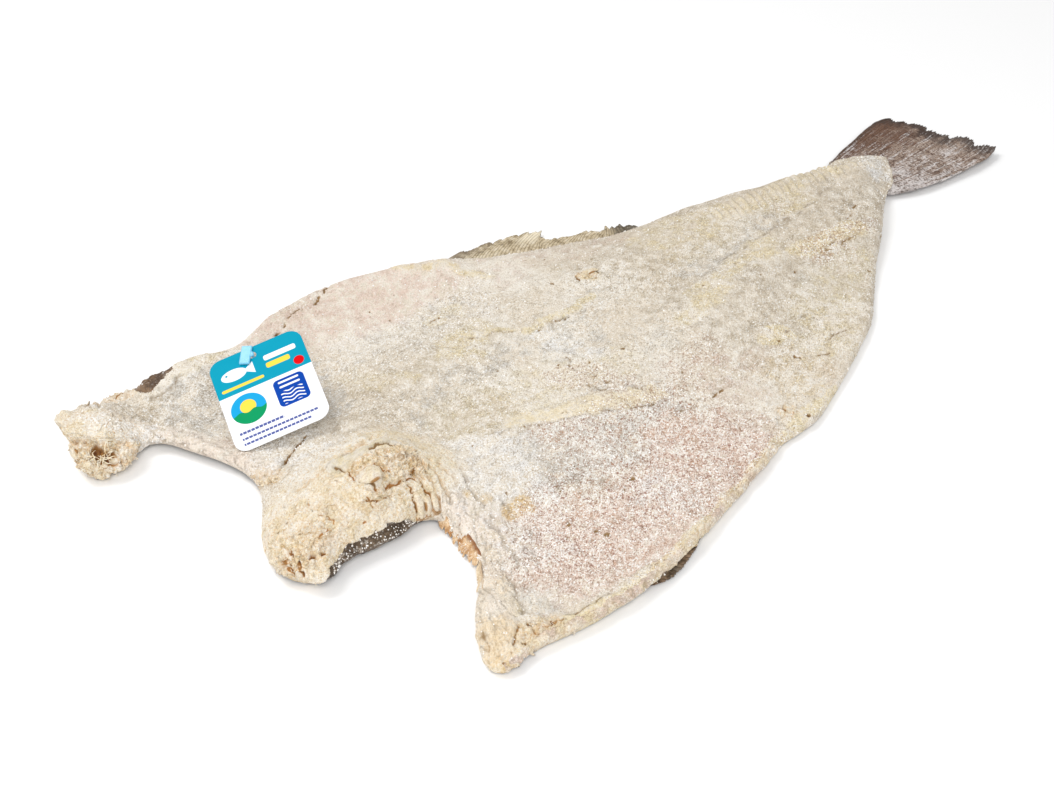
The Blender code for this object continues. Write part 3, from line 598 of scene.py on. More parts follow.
store(body, "pink", bands(strewn, [
    (0.62, 16, 40, [(-175, 128), (-120, 132), (-72, 122)]), (0.35, 10, 30, [(-30, 98), (50, 66)]),
    (1.0, 20, 50, [(-180, -116), (-150, -124), (-110, -118), (-66, -114)]), (0.6, 6, 20, [(-206, -60), (-212, -80)]),
    (0.5, 6, 16, [(-285, 120), (-264, 84), (-258, 56)]), (0.4, 14, 40, [(-20, -80), (20, -100)])]))
# Grey tints: mostly the flesh's own, with painted shadow of the label beside it and painted shade in the crevice
# between the neck and the right flap
store(body, "grey", bands(strewn, [
    (1.0, 8, 24, [(-184, 88), (-192, 66)]), (0.7, 16, 34, [(-250, 112), (-240, 124)]),
    (0.8, 14, 30, [(-140, -58), (-80, -66)]), (0.5, 10, 34, [(-160, 20), (-40, 14)]), (0.45, 12, 32, [(92, -60), (132, -48)]),
    (0.6, 6, 16, [(50, 0), (120, 2)]), (0.8, 3, 9, [(-206, -26), (-204, -36)]), (0.6, 2, 7, [(-238, 4), (-222, 1)]),
    (0.6, 4, 14, [(-222, -116), (-214, -130)]), (0.7, 6, 14, [(222, 4), (238, 4)])]))
store(body, "salty", bands(strewn, SALTY))
store(body, "orange", bands(wandering, [
    (0.5, 6, 12, [(-231, -9), (-220, -15), (-210, -19)]), (0.8, 1, 6, [(-309, 117)]), (0.7, 2, 6, [(-4, 44)]),
    (0.8, 8, 18, [(-252, -128), (-262, -140)]), (0.5, 2, 8, [(-212, -84), (-232, -108)]),
    (0.5, 1, 5, [(-244, -27)]), (0.5, 3, 8, [(-262, 44), (-256, 36)]), (0.5, 3, 8, [(-290, -22), (-278, -26)])]))


def take(piece, chosen, name):
    """Separates the chosen points' faces into a piece of their own."""
    before = set(bpy.data.objects)
    select_points(piece, chosen)
    bpy.ops.mesh.separate(type="SELECTED")
    bpy.ops.object.mode_set(mode="OBJECT")
    made = next(item for item in bpy.data.objects if item not in before)
    made.name = name
    return made


# The pieces keep the whole surface's normals, so that no seam shows between them.
smooth_normals = body.data.attributes.new("whole_normal", "FLOAT_VECTOR", "POINT")
smooth_normals.data.foreach_set("vector", normals_of(body).astype(np.float32).ravel())
skin_side = take(body, read(body, "skin") > 0.5, "skin")
neck_stub = take(body, band(spots_of(body)[:, :2], NECK, 42, 43) > 0.5, "neck_stub")
flap_end = take(body, band(spots_of(body)[:, :2], FLAP_END, 30, 31) > 0.5, "torn_flap_end")
right_side = take(body, spots_of(body)[:, 1] < -2, "right_side")
left_side = body
left_side.name = "left_side"
flesh_pieces = [left_side, right_side, neck_stub, flap_end]


def keep_normals(piece):
    flat = np.empty(len(piece.data.vertices) * 3, np.float32)
    piece.data.attributes["whole_normal"].data.foreach_get("vector", flat)
    piece.data.shade_smooth()
    piece.data.normals_split_custom_set_from_vertices(flat.reshape(-1, 3))


for piece in flesh_pieces + [skin_side]:
    keep_normals(piece)
    print(piece.name, len(piece.data.polygons))


class Wire:
    """A value or colour on its way through a material's nodes. Arithmetic on wires adds Math nodes."""

    def __init__(self, tree, socket=None):
        self.tree = tree
        self.socket = socket

    def node(self, kind, settings, values, output=0):
        made = self.tree.nodes.new(kind)
        for name, setting in settings.items():
            if name == "stops":
                ramp = made.color_ramp
                ramp.elements[0].position, ramp.elements[0].color = setting[0]
                ramp.elements[1].position, ramp.elements[1].color = setting[-1]
                for position, colour in setting[1:-1]:
                    ramp.elements.new(position).color = colour
            else:
                setattr(made, name, setting)
        for name, value in values.items():
            if isinstance(value, Wire):
                self.tree.links.new(value.socket, made.inputs[name])
            else:
                made.inputs[name].default_value = value
        return Wire(self.tree, made.outputs[output])

    def math(self, operation, *others):
        """This value put through a Math node, with the others after it."""
        return self.node("ShaderNodeMath", {"operation": operation}, dict(enumerate((self, *others))))

    def __add__(self, other):
        return self.math("ADD", other)

    def __sub__(self, other):
        return self.math("SUBTRACT", other)

    def __rsub__(self, other):
        return self.node("ShaderNodeMath", {"operation": "SUBTRACT"}, {0: other, 1: self})

    def __mul__(self, other):
        return self.math("MULTIPLY", other)

    __radd__ = __add__
    __rmul__ = __mul__

    def between(self, low, high):
        """0 up to low and 1 from high, with an even slope between."""
        return self.node("ShaderNodeMapRange", {"interpolation_type": "SMOOTHSTEP"}, {0: self, 1: low, 2: high})

    def layer(self, name):
        """A number kept on the points of the piece."""
        return self.node("ShaderNodeAttribute", {"attribute_name": name}, {}, "Fac")

    def lumps(self, scale, detail=2.0, roughness=0.55, place=None):
        return self.node("ShaderNodeTexNoise", {}, {
            "Vector": place or self.place(), "Scale": scale, "Detail": detail, "Roughness": roughness})

    def cells(self, scale, feature="F1", output="Distance"):
        return self.node("ShaderNodeTexVoronoi", {"feature": feature}, {"Vector": self.place(), "Scale": scale}, output)

    def place(self):
        return self.node("ShaderNodeTexCoord", {}, {}, "Object")

    def squeezed(self, turn, scale):
        """The object's place, turned about the upright and scaled, for strands and streaks."""
        return self.node("ShaderNodeMapping", {"vector_type": "TEXTURE"}, {
            "Vector": self.place(), "Rotation": (0, 0, turn), "Scale": scale})

    def blend(self, share, other):
        """This colour with a share of the other in it."""
        return self.node("ShaderNodeMix", {"data_type": "RGBA"}, {0: share, 6: self, 7: other}, 2)

    def tones(self, low, high):
        """A colour between these two, by this value."""
        return self.node("ShaderNodeMix", {"data_type": "RGBA"}, {0: self, 6: low, 7: high}, 2)

    def ramp(self, *stops):
        return self.node("ShaderNodeValToRGB", {"stops": stops}, {0: self})


def tone(red, green, blue):
    """A colour from its values on a screen, 0 to 255."""
    return tuple((value / 255) ** 2.2 for value in (red, green, blue)) + (1.0,)


def new_material(name, constants):
    """A material whose shader has these constants, and a bare wire to start its nodes from."""
    made = bpy.data.materials.new(name)
    made.use_nodes = True
    shader = made.node_tree.nodes["Principled BSDF"]
    for socket, value in constants.items():
        shader.inputs[socket].default_value = value
    return made, shader, Wire(made.node_tree)


def connect(shader, wires):
    for socket, wire in wires.items():
        wire.tree.links.new(wire.socket, shader.inputs[socket])


def bumped(start, height, distance, strength=1.0):
    return start.node("ShaderNodeBump", {}, {"Height": height, "Distance": distance, "Strength": strength})


CREAM = tone(229, 216, 196)
PALE_CREAM = tone(240, 231, 216)

salt_flesh, shader, start = new_material("salt_dried_flesh", {"Roughness": 0.75, "Specular IOR Level": 0.3})
grit = start.lumps(640, 2, 0.6)                 # lumps of about 1.5 mm
fine = start.lumps(1900, 2, 0.75)               # and a third of that size
grains = start.cells(1250, output="Color")       # grains of salt and dried flesh, each with its own number
blotch = start.lumps(34, 3, 0.6)
patch = start.lumps(130, 4, 0.65)
strand = start.lumps(760, 2, 0.6, start.squeezed(0.35, (3.4, 1.0, 1.0)))
scratch = start.lumps(1500, 2, 0.6, start.squeezed(0.5, (3.0, 1.0, 1.0)))
crossed = start.lumps(1500, 2, 0.6, start.squeezed(-0.9, (3.0, 1.0, 1.0)))
relief = start.layer("relief")
crust = start.layer("crust") * 0.75 + 0.25
loose = 0.75 + (grains - 0.5) + (patch - 0.5) * 4.0
colour = blotch.between(0.38, 0.62).tones(CREAM, PALE_CREAM)
# Tints by layer; the grey one also holds painted shadow and shade
for layer, share, tint in [
        ("dusky", 0.9, tone(208, 194, 172)), ("grey", 0.7, tone(210, 206, 199)), ("pink", 0.85, tone(230, 204, 188)),
        ("yellow", 0.85, tone(237, 219, 176)), ("cream", 0.85, tone(246, 232, 205)),
        ("rolled", 0.7, tone(243, 229, 213)), ("bared", 0.75, tone(240, 223, 186)), ("orange", 0.5, tone(244, 214, 166)),
        ("salty", 0.8, tone(248, 245, 241)), ("golden", 0.9, tone(219, 186, 128))]:
    colour = colour.blend((start.layer(layer) * loose).between(0.1, 0.8) * share, tint)
warm = start.layer("cream")
crust = crust * (1 - 0.15 * warm)
# Fine specks: partly the crust's own grain and salt, partly painted light and shade of the fine grain, lighter on peaks
# and darker in hollows; the mauve specks of the gritty parts are painted shade between their grains
speckle_and_grain_shading = fine * 0.28 + scratch * 0.28 + crossed * 0.24 + grains * 0.14 + relief * 0.06
colour = colour.blend(speckle_and_grain_shading.between(0.478, 0.4) * crust * 0.85, warm.tones(tone(162, 142, 118), tone(204, 158, 98)))
colour = colour.blend(speckle_and_grain_shading.between(0.508, 0.585) * crust * 0.95, tone(255, 253, 249))
colour = colour.blend(speckle_and_grain_shading.between(0.495, 0.43) * start.layer("gritty") * 0.8, tone(158, 112, 100))
dashes = (strand - 0.5).math("ABSOLUTE").between(0.022, 0.004) * patch.between(0.46, 0.6) * crust
colour = colour.blend(dashes * 0.65, tone(156, 132, 88))
colour = colour.blend(start.layer("shadowed") * 0.6, warm.tones(tone(152, 138, 120), tone(206, 166, 112)))
# Painted shade, tinted orange, in the clefts between shards and at the flakes' roots
colour = colour.blend(start.layer("clefts") * 0.5, tone(222, 174, 108))
colour = colour.blend(start.layer("folded") * 0.55, tone(240, 224, 186))
colour = colour.blend(patch.between(0.5, 0.62) * warm * 0.26, tone(238, 211, 156))
colour = colour.blend(patch.between(0.47, 0.37) * warm * 0.22, tone(251, 244, 230))
rusty = (patch * 0.6 + blotch * 0.4).between(0.5, 0.6) * start.layer("gritty")
colour = colour.blend(rusty * speckle_and_grain_shading.between(0.52, 0.44) * 0.6, tone(176, 112, 74))
colour = colour.blend(rusty * 0.3, tone(234, 206, 180))
# The stain layer holds real brown stains in cracks and pits, and painted shade in the flap's hole, under its ridge,
# around the finger lobes and at the tags' sides.
stain = start.layer("stain")
colour = colour.blend((stain * (0.6 + fine)).between(0.12, 0.55) * 0.95,
                      stain.between(0.55, 0.95).tones(warm.tones(tone(150, 118, 74), tone(184, 130, 70)),
                                                      warm.tones(tone(104, 66, 34), tone(126, 72, 28))))
surface = grit * 0.3 + scratch * 0.35 + crossed * 0.3 + fine * 0.4 - dashes * 0.15
connect(shader, {"Base Color": colour, "Normal": bumped(start, surface, 1.6 * MM, 1.0)})
for piece in flesh_pieces:
    piece.data.materials.append(salt_flesh)
    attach(piece, "root")
    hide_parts("salted_cod")

# ---- Torn shreds and salt ---------------------------------------------------------------------------
# Where the flesh is torn it frays into short stiff fibres, and grains of curing salt stick all over it,
# thickest on the belly of the right side and on the skin at the neck.


def picked(places, weights, count, seed):
    """Numbers of points taken at random, more where the weight is more."""
    return np.random.default_rng(seed).choice(len(places), count, replace=False, p=weights / weights.sum())


def joined_copies(name, points, faces):
    """One piece from the points of many copies of a small form and that form's faces."""
    count, size = points.shape[:2]
    all_faces = (np.array(faces)[None] + size * np.arange(count)[:, None, None]).reshape(-1, len(faces[0]))
    mesh = bpy.data.meshes.new(name)
    mesh.from_pydata((points * MM).reshape(-1, 3), [], all_faces.tolist())
    piece = bpy.data.objects.new(name, mesh)
    bpy.context.collection.objects.link(piece)
    return piece


def shreds(name, starts, normals, directions, lengths, lifts, radius, seed):
    """Curved tapering strands, each from its start over the flesh and back into it."""
    rng = np.random.default_rng(seed)
    count = len(starts)
    directions = directions - np.sum(directions * normals, axis=1)[:, None] * normals
    directions /= np.linalg.norm(directions, axis=1)[:, None]
    across = np.cross(normals, directions)
    shares = np.linspace(0, 1, 8)
    curl = rng.normal(size=(count, 1)) * 0.12 * lengths[:, None] * np.sin(2 * math.pi * shares)
    rise = lifts[:, None] * np.sin(math.pi * shares) - 0.35
    middle = (starts[:, None] + (shares * lengths[:, None])[..., None] * directions[:, None]
              + curl[..., None] * across[:, None] + rise[..., None] * normals[:, None])
    thickness = radius * rng.uniform(0.6, 1.3, (count, 1)) * (0.25 + 0.75 * np.sin(math.pi * (0.1 + 0.8 * shares)))
    rings = [middle + thickness[..., None] * (math.cos(turn) * across[:, None] + math.sin(turn) * normals[:, None])
             for turn in (0.0, math.pi / 2, math.pi, 3 * math.pi / 2)]
    points = np.stack(rings, axis=2).reshape(count, -1, 3)
    faces = [(4 * ring + side, 4 * ring + (side + 1) % 4, 4 * ring + 4 + (side + 1) % 4, 4 * ring + 4 + side)
             for ring in range(7) for side in range(4)]
    faces += [(3, 2, 1, 0), (28, 29, 30, 31)]
    piece = joined_copies(name, points, faces)
    piece.data.shade_smooth()
    return piece


def flakes(name, starts, normals, directions, lengths, lifts, seed):
    """Thin curled chips, each rooted in the flesh and lifting off it towards its narrow tip."""
    rng = np.random.default_rng(seed)
    count = len(starts)
    directions = directions - np.sum(directions * normals, axis=1)[:, None] * normals
    directions /= np.linalg.norm(directions, axis=1)[:, None]
    across = np.cross(normals, directions)
    out, beside = (part.ravel() for part in np.meshgrid(np.linspace(0, 1, 4), (-1, 0, 1), indexing="ij"))
    taper = np.repeat(rng.uniform(0.7, 1.2, (count, 4)) * (0.85, 1.0, 0.8, 0.3), 3, axis=1)
    half_width = lengths[:, None] * rng.uniform(0.25, 0.5, (count, 1)) * taper
    rise = lifts[:, None] * out ** 1.6 - 0.7 + rng.normal(size=(count, 12)) * 0.16 - 0.4 * half_width * beside ** 2
    top = (starts[:, None] + (lengths[:, None] * out)[..., None] * directions[:, None]
           + (half_width * beside)[..., None] * across[:, None] + rise[..., None] * normals[:, None])
    bottom = top - (0.75 - 0.45 * out)[None, :, None] * normals[:, None]
    faces = []
    for i, j in itertools.product(range(3), range(2)):
        a, b, c, d = 3 * i + j, 3 * i + 3 + j, 3 * i + 4 + j, 3 * i + 1 + j
        faces += [(a, b, c, d), (12 + d, 12 + c, 12 + b, 12 + a)]
    for i in range(3):
        a, b = 3 * i, 3 * i + 3
        faces += [(a, a + 12, b + 12, b), (a + 2, b + 2, b + 14, a + 14)]
    for j in range(2):
        faces += [(j, j + 1, j + 13, j + 12), (9 + j, 21 + j, 22 + j, 10 + j)]
    piece = joined_copies(name, np.concatenate([top, bottom], axis=1), faces)
    piece.data.shade_smooth()
    shares = np.tile(out, (count, 2)).ravel()
    each = np.repeat(rng.uniform(0, 1, count), 24)
    store(piece, "cream", np.ones(len(shares)))
    store(piece, "crust", 0.3 + 0.4 * each)
    store(piece, "orange", ease((0.45 - each) / 0.3))
    # painted shade at each flake's root, where it meets the flesh
    store(piece, "clefts", ease(0.9 - 2.2 * shares))
    return piece


def tags(name, rows, seed):
    """Soft round-ended tags of flesh: path in space, half width, half thickness, rise along the path."""
    made = []
    for path, width, thick, rise in rows:
        pick(left_side)
        bpy.ops.mesh.primitive_uv_sphere_add(segments=28, ring_count=20, radius=MM)
        tag = bpy.context.active_object
        made.append(tag)
        ball = spots_of(tag)
        path = np.array(path, float)
        gaps = np.linalg.norm(flesh_spots[None] - path[:, None], axis=2)
        nearest = gaps.argmin(axis=1)
        path = flesh_spots[nearest] + np.array(rise)[:, None] * flesh_normals[nearest]
        share = (ball[:, 2:] + 1) / 2
        middle = (1 - share) ** 2 * path[0] + 2 * share * (1 - share) * path[1] + share ** 2 * path[2]
        outward = flesh_normals[nearest].mean(axis=0)
        outward /= np.linalg.norm(outward)
        sideways = np.cross(outward, path[2] - path[0])
        sideways /= np.linalg.norm(sideways)
        spots = middle + ball[:, :1] * width * sideways + ball[:, 1:2] * thick * outward
        move_to(tag, spots)
        bumps = 0.35 * noise(spots, 2.6, seed) + 0.18 * noise(spots, 1.1, seed + 1)
        move_to(tag, spots + normals_of(tag) * bumps[:, None])
        # painted shade at each tag's sides, where it curves down into the flesh
        store(tag, "stain", 0.5 * ease((np.abs(ball[:, 0]) - 0.7) / 0.25) * ease((ball[:, 2] + 0.6) / 0.5))
    pick(*made)
    bpy.ops.object.join()
    piece = bpy.context.active_object
    piece.name = name
    piece.data.shade_smooth()
    count = len(piece.data.vertices)
    store(piece, "cream", np.full(count, 0.7))
    store(piece, "dusky", np.full(count, 0.3))
    store(piece, "yellow", np.full(count, 0.5))
    store(piece, "crust", np.full(count, 0.35))
    return piece


FIBRES, HOLE_FIBRES, SALT_GRAINS, FLAKES = 900, 26, 7000, 400
rng = np.random.default_rng(12)
even = 1 - 0.75 * fine_here                 # evens out the closer points of the finest parts
fray = even * (0.9 * crumbly * (plan[:, 1] < 145) + 0.25 * band(plan, RIM_EDGE, 2, 6) * up)
fray *= (1 - skin) * (1 - smooth_lobes) * (1 - hole)
chosen = picked(flesh_spots, fray, FIBRES, 21)
directions = rng.normal(size=(FIBRES, 3)) + (0.8, 0.3, 0.0)
fibres = shreds("torn_fibres", flesh_spots[chosen], flesh_normals[chosen], directions,
                rng.uniform(1.6, 4.2, FIBRES), rng.uniform(0.1, 0.5, FIBRES), 0.15, 22)
chipped = even * (crumbly ** 2 * (plan[:, 1] < 147) + 0.1 * band(wandering, NECK, 22, 34) * (normals[:, 2] > 0.4)
                  + 0.25 * bands(wandering, [(1.0, 2, 8, [(-302, 150), (-292, 153), (-280, 153)]),
                                            (0.8, 3, 9, [(-262, -138), (-240, -140), (-224, -146)])]))
chipped *= (1 - skin) * (1 - smooth_lobes) * (1 - hole)
chosen = picked(flesh_spots, chipped, FLAKES, 25)
directions = rng.normal(size=(FLAKES, 3)) + (-0.5, -0.3, 0.3)
chips = flakes("torn_flakes", flesh_spots[chosen], flesh_normals[chosen], directions,
               rng.uniform(1.6, 4.4, FLAKES), rng.uniform(0.3, 1.5, FLAKES), 26)
EVEN_RISE = (0.5, 0.6, 0.5)
tag_lobes = tags("flesh_tags", [
    ([(-230.5, -17.5, 31), (-234.5, -17.8, 31), (-239, -17, 30.5)], 5.4, 2.4, (0.9, 1.2, 0.9)),
    ([(-306, 111, 10), (-305, 110, 8), (-304, 109, 5)], 3.3, 2.3, EVEN_RISE),
    ([(-301, 111, 9), (-299, 110, 8), (-298, 110, 5)], 2.6, 2.0, EVEN_RISE),
    ([(-319, 118, 11), (-319, 116, 9), (-318, 114, 7)], 2.6, 2.0, EVEN_RISE),
    ([(-317, 113, 5), (-315, 112, 4), (-312, 111, 3)], 2.6, 2.0, EVEN_RISE),
    ([(-313, 112, 9), (-311, 111, 7), (-309, 110, 5)], 2.2, 1.8, EVEN_RISE),
    ([(-319, 131, 14), (-319, 128, 12), (-319, 125, 10)], 2.4, 1.6, EVEN_RISE),
    ([(-9, 44, 16), (-3, 48, 16), (4, 44, 16)], 2.6, 1.2, EVEN_RISE)]
    + [(path, width, width, (-0.9, 0.5, 0.8)) for path, width in FINGERS], 81)
across_hole = HOLE[1] + rng.uniform(-1, 1, (HOLE_FIBRES, 3)) * (5.0, 2.0, 3.4) + (-0.8, -1.2, 0.0)
facing = np.tile(np.array([-0.66, -0.66, 0.35]), (HOLE_FIBRES, 1))
hole_fibres = shreds("hole_fibres", across_hole, facing, rng.normal(size=(HOLE_FIBRES, 3)) * (0.6, 0.6, 1.0),
                     rng.uniform(3.5, 8.0, HOLE_FIBRES), rng.uniform(0.1, 1.0, HOLE_FIBRES), 0.26, 23)

dried_fibre, shader, start = new_material("dried_fibre", {"Roughness": 0.6, "Specular IOR Level": 0.35})
hue = start.lumps(240, 2, 0.6)
colour = hue.ramp((0.35, tone(236, 206, 158)), (0.5, tone(248, 234, 204)), (0.65, tone(252, 246, 228)))
connect(shader, {"Base Color": colour, "Normal": bumped(start, start.lumps(1500), 0.3 * MM)})

pick(left_side)
bpy.ops.mesh.primitive_cube_add(size=MM)
crystal = bpy.context.active_object
corners = spots_of(crystal)
crystal_faces = [tuple(face.vertices) for face in crystal.data.polygons]
bpy.ops.object.delete()
salted = even * (0.1 + 1.1 * gritty + 1.0 * bands(strewn, SALTY)) * (normals[:, 2] > 0.1)
salted *= 1 - np.maximum(crumbly, band(plan, NECK, 34, 42))
salted = np.where((skin > 0.5) & (on_flank > 0.5), even * 1.15 * (normals[:, 2] > -0.4), salted)
chosen = picked(flesh_spots, salted, SALT_GRAINS, 24)
quarter = rng.normal(size=(SALT_GRAINS, 4))
a, b, c, d = (quarter / np.linalg.norm(quarter, axis=1)[:, None]).T
turns = np.array([[1 - 2 * (c * c + d * d), 2 * (b * c - a * d), 2 * (b * d + a * c)],
                  [2 * (b * c + a * d), 1 - 2 * (b * b + d * d), 2 * (c * d - a * b)],
                  [2 * (b * d - a * c), 2 * (c * d + a * b), 1 - 2 * (b * b + c * c)]]).transpose(2, 0, 1)
sizes = rng.uniform(0.3, 0.75, (SALT_GRAINS, 1)) * rng.uniform(0.7, 1.2, (SALT_GRAINS, 3))
points = np.einsum("nij,nkj->nki", turns, corners[None] * sizes[:, None]) + flesh_spots[chosen][:, None]
salt_grains = joined_copies("salt_grains", points + 0.1 * flesh_normals[chosen][:, None], crystal_faces)
curing_salt, shader, start = new_material("curing_salt", {"Roughness": 0.35, "Specular IOR Level": 0.5})
colour = start.lumps(500, 2).between(0.35, 0.65).tones(tone(236, 231, 224), tone(252, 251, 249))
connect(shader, {"Base Color": colour})

for piece, finish in [(fibres, dried_fibre), (hole_fibres, dried_fibre), (salt_grains, curing_salt),
                      (chips, salt_flesh), (tag_lobes, salt_flesh)]:
    piece.data.materials.append(finish)
    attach(piece, "root")
    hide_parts("salted_cod")

# ---- The skin ---------------------------------------------------------------------------------------
# The fish's own skin, dark on the back and pale to the belly edges, dried onto the flesh under it and
# grained with small scales and caked salt.

dried_skin, shader, start = new_material("dried_skin", {"Roughness": 0.55, "Specular IOR Level": 0.4})
mottle = start.lumps(95, 4, 0.65)
scales = start.cells(520)
cracked = start.cells(260, "DISTANCE_TO_EDGE")
caked = start.lumps(560, 3, 0.65)
caked_here = start.lumps(70, 3, 0.6) * 0.35 + caked * 0.65
colour = mottle.ramp(
    (0.25, tone(52, 42, 33)), (0.45, tone(88, 71, 54)), (0.6, tone(118, 99, 78)), (0.8, tone(142, 124, 102)))
colour = colour.blend(scales.between(0.2, 0.7) * 0.35, tone(34, 28, 24))
colour = colour.blend(start.layer("belly") * 0.75, mottle.between(0.35, 0.65).tones(tone(150, 136, 114), tone(190, 178, 156)))
colour = colour.blend(start.layer("side_line") * 0.5, tone(168, 154, 132))
browned = start.layer("browned")
colour = colour.blend(browned * 0.85, mottle.between(0.35, 0.65).tones(tone(74, 50, 33), tone(126, 94, 64)))
colour = colour.blend(caked_here.between(0.53, 0.62) * (0.75 - 0.5 * browned), tone(196, 188, 178))
colour = colour.blend(cracked.between(0.08, 0.0) * 0.4, tone(34, 28, 24))
connect(shader, {"Base Color": colour, "Normal": bumped(start, scales * 0.5 + caked * 0.6, 0.8 * MM)})
skin_side.data.materials.append(dried_skin)
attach(skin_side, "root")
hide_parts("salted_cod")

# ---- The tail fin -----------------------------------------------------------------------------------
# A stiff fan of fine rays with dried web between them, brown at its far side and dusted with salt near
# the flesh. Its edge is broken into three lobes with small teeth.

RAYS = 46
FIN_LONG, FIN_WIDE = 130, 300
NEAR_SIDE = [(208, -15), (221, -22), (233, -29), (244, -33), (261, -37), (274, -39), (288, -41), (303, -42),
             (314, -41), (320, -39)]
FAR_SIDE = [(206, 24), (222, 30), (236, 34), (250, 36), (269, 39), (287, 41), (298, 40), (302, 38)]
BROKEN_EDGE = [(320, -39), (318, -33), (313, -29), (311, -27), (316, -22), (317, -17), (314, -11), (307, -9),
               (312, -5), (308, -1), (309, 5), (306, 8), (302, 7), (309, 11), (308, 16), (307, 21), (304, 23),
               (306, 28), (302, 31), (302, 38)]


def along(path, shares):
    """Places at these shares of the path's length."""
    path = np.array(path, float)
    run = np.concatenate([[0.0], np.cumsum(np.hypot(*np.diff(path, axis=0).T))])
    return np.stack([np.interp(shares * run[-1], run, path[:, k]) for k in (0, 1)], axis=1)


def fin_sheet(name, long, wide):
    """A flat grid to lay a fin out on, and each point's share of the way out and of the way across."""
    pick(left_side)
    bpy.ops.mesh.primitive_grid_add(x_subdivisions=long, y_subdivisions=wide, size=MM)
    sheet = bpy.context.active_object
    sheet.name = name
    shares = spots_of(sheet)[:, :2] + 0.5
    return sheet, shares[:, 0], shares[:, 1]


tail_fin, out, across = fin_sheet("tail_fin", FIN_LONG, FIN_WIDE)
root = along([NEAR_SIDE[0], FAR_SIDE[0]], across)
edge = along(BROKEN_EDGE, across)
near = along(NEAR_SIDE, out)
far = along(FAR_SIDE, out)
o, a = out[:, None], across[:, None]
corners = ((1 - o) * (1 - a) * np.array(NEAR_SIDE[0]) + (1 - o) * a * np.array(FAR_SIDE[0])
           + o * (1 - a) * np.array(BROKEN_EDGE[0]) + o * a * np.array(BROKEN_EDGE[-1]))
layout = (1 - o) * root + o * edge + (1 - a) * near + a * far - corners
teeth = np.abs((across * 52 + 0.4 * noise(np.stack([across * 40, across, across], 1), 1.0, 41)) % 1.0 - 0.5) * 2
nibbled = noise(np.stack([across * 130, across, across], 1), 1.0, 46)
layout[:, 0] -= ease((out - 0.82) / 0.18) * (teeth * 3.0 + 2.6 * np.maximum(nibbled, 0))
flat = np.column_stack([layout, np.zeros(len(layout))])
ray = np.abs(np.sin((across * RAYS + 0.35 * noise(flat, 14, 42)) * math.pi))
height = (fin_height(layout) + 0.42 * ray * ease(out * 6) + 0.7 * noise(flat, 16, 43) * out
          + 0.2 * noise(flat, 3, 44) - 0.5 * ease((out - 0.93) / 0.07) * (1 + noise(flat, 6, 45)))
move_to(tail_fin, np.column_stack([layout, height]))
store(tail_fin, "ray", ray)
store(tail_fin, "out", out)
store(tail_fin, "across", across)
thin = tail_fin.vertex_groups.new(name="thick")
for step in range(11):
    chosen = np.nonzero(np.round((1 - 0.7 * out) * 10) == step)[0]
    thin.add(chosen.tolist(), step / 10, "REPLACE")
shape(tail_fin, "SOLIDIFY", thickness=2.0 * MM, offset=0.0, vertex_group="thick", thickness_vertex_group=0.1)
tail_fin.data.shade_smooth()

fin_web, shader, start = new_material("dried_fin", {"Roughness": 0.5, "Specular IOR Level": 0.45})
ray_place = start.node("ShaderNodeCombineXYZ", {}, {"X": start.layer("out") * 3.0, "Y": start.layer("across") * 60.0})
streak = start.lumps(1.0, 4, 0.65, ray_place)
mottle = start.lumps(110, 4, 0.7)
grains = start.cells(900, output="Color")
dust = start.lumps(620, 3, 0.7)
out_share, across_share = start.layer("out"), start.layer("across")
web = streak * 0.5 + mottle * 0.36 + grains * 0.14
colour = web.ramp((0.36, tone(92, 70, 58)), (0.5, tone(158, 137, 122)), (0.62, tone(203, 190, 181)))
reddish = (across_share * 1.4 + (mottle - 0.5) * 2.4 + out_share * 0.5 - 0.3).between(0.75, 1.25)
colour = colour.blend(reddish * 0.85, tone(100, 66, 44))
colour = colour.blend(start.layer("ray").between(0.45, 0.0) * 0.28, tone(66, 54, 46))
edge = out_share + (mottle - 0.5) * 0.5
colour = colour.blend(edge.between(0.8, 0.98) * 0.8, tone(56, 46, 42))
colour = colour.blend((across_share + (mottle - 0.5) * 0.1).between(0.95, 1.0) * 0.6, tone(60, 46, 38))
salted = ((1 - out_share) * 1.05 + (mottle - 0.5) * 1.8 + (streak - 0.5) * 3.2 + (grains - 0.5) * 0.4
          + (dust - 0.5) * 1.3 - across_share * 0.55)
colour = colour.blend(salted.between(0.08, 0.78) * 0.85, tone(214, 208, 206))
colour = colour.blend((grains * 0.6 + dust * 0.4).between(0.5, 0.32) * 0.4, tone(66, 52, 44))
connect(shader, {"Base Color": colour, "Normal": bumped(start, streak * 0.6 + dust * 0.7 + grains * 0.2, 0.9 * MM)})
tail_fin.data.materials.append(fin_web)
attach(tail_fin, "root")
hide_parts("salted_cod")

# ---- The fins along the rims ------------------------------------------------------------------------
# Low dried fins that lie flat beside the flesh: the anal fin along the far rim, torn at its middle and
# spiky at its tail end, and a short belly fin under the near rim.

ANAL_ROOT = [(-58, 124), (-44, 117), (-22, 106), (2, 93), (22, 84), (50, 70), (72, 61)]
ANAL_EDGE = [(-56, 128), (-50, 134), (-41, 135), (-25, 130.5), (-9, 127.5), (2, 123.5), (12, 120), (23, 116),
             (25.5, 113.5), (21, 110.5), (20, 103), (27, 99), (32, 95), (36, 93.5), (45, 92.5), (49, 86.5),
             (55, 84.5), (58.8, 88), (57.5, 83.5), (61.5, 85.5), (60, 81.5), (66, 82.5), (64.5, 79), (69.5, 78.5),
             (72, 74)]
BELLY_ROOT = [(-172, -147), (-150, -148), (-120, -143)]
BELLY_EDGE = [(-172, -151), (-166, -155), (-158, -157), (-148, -156), (-140, -153.8), (-133, -151.6), (-126, -148.6), (-119, -144)]


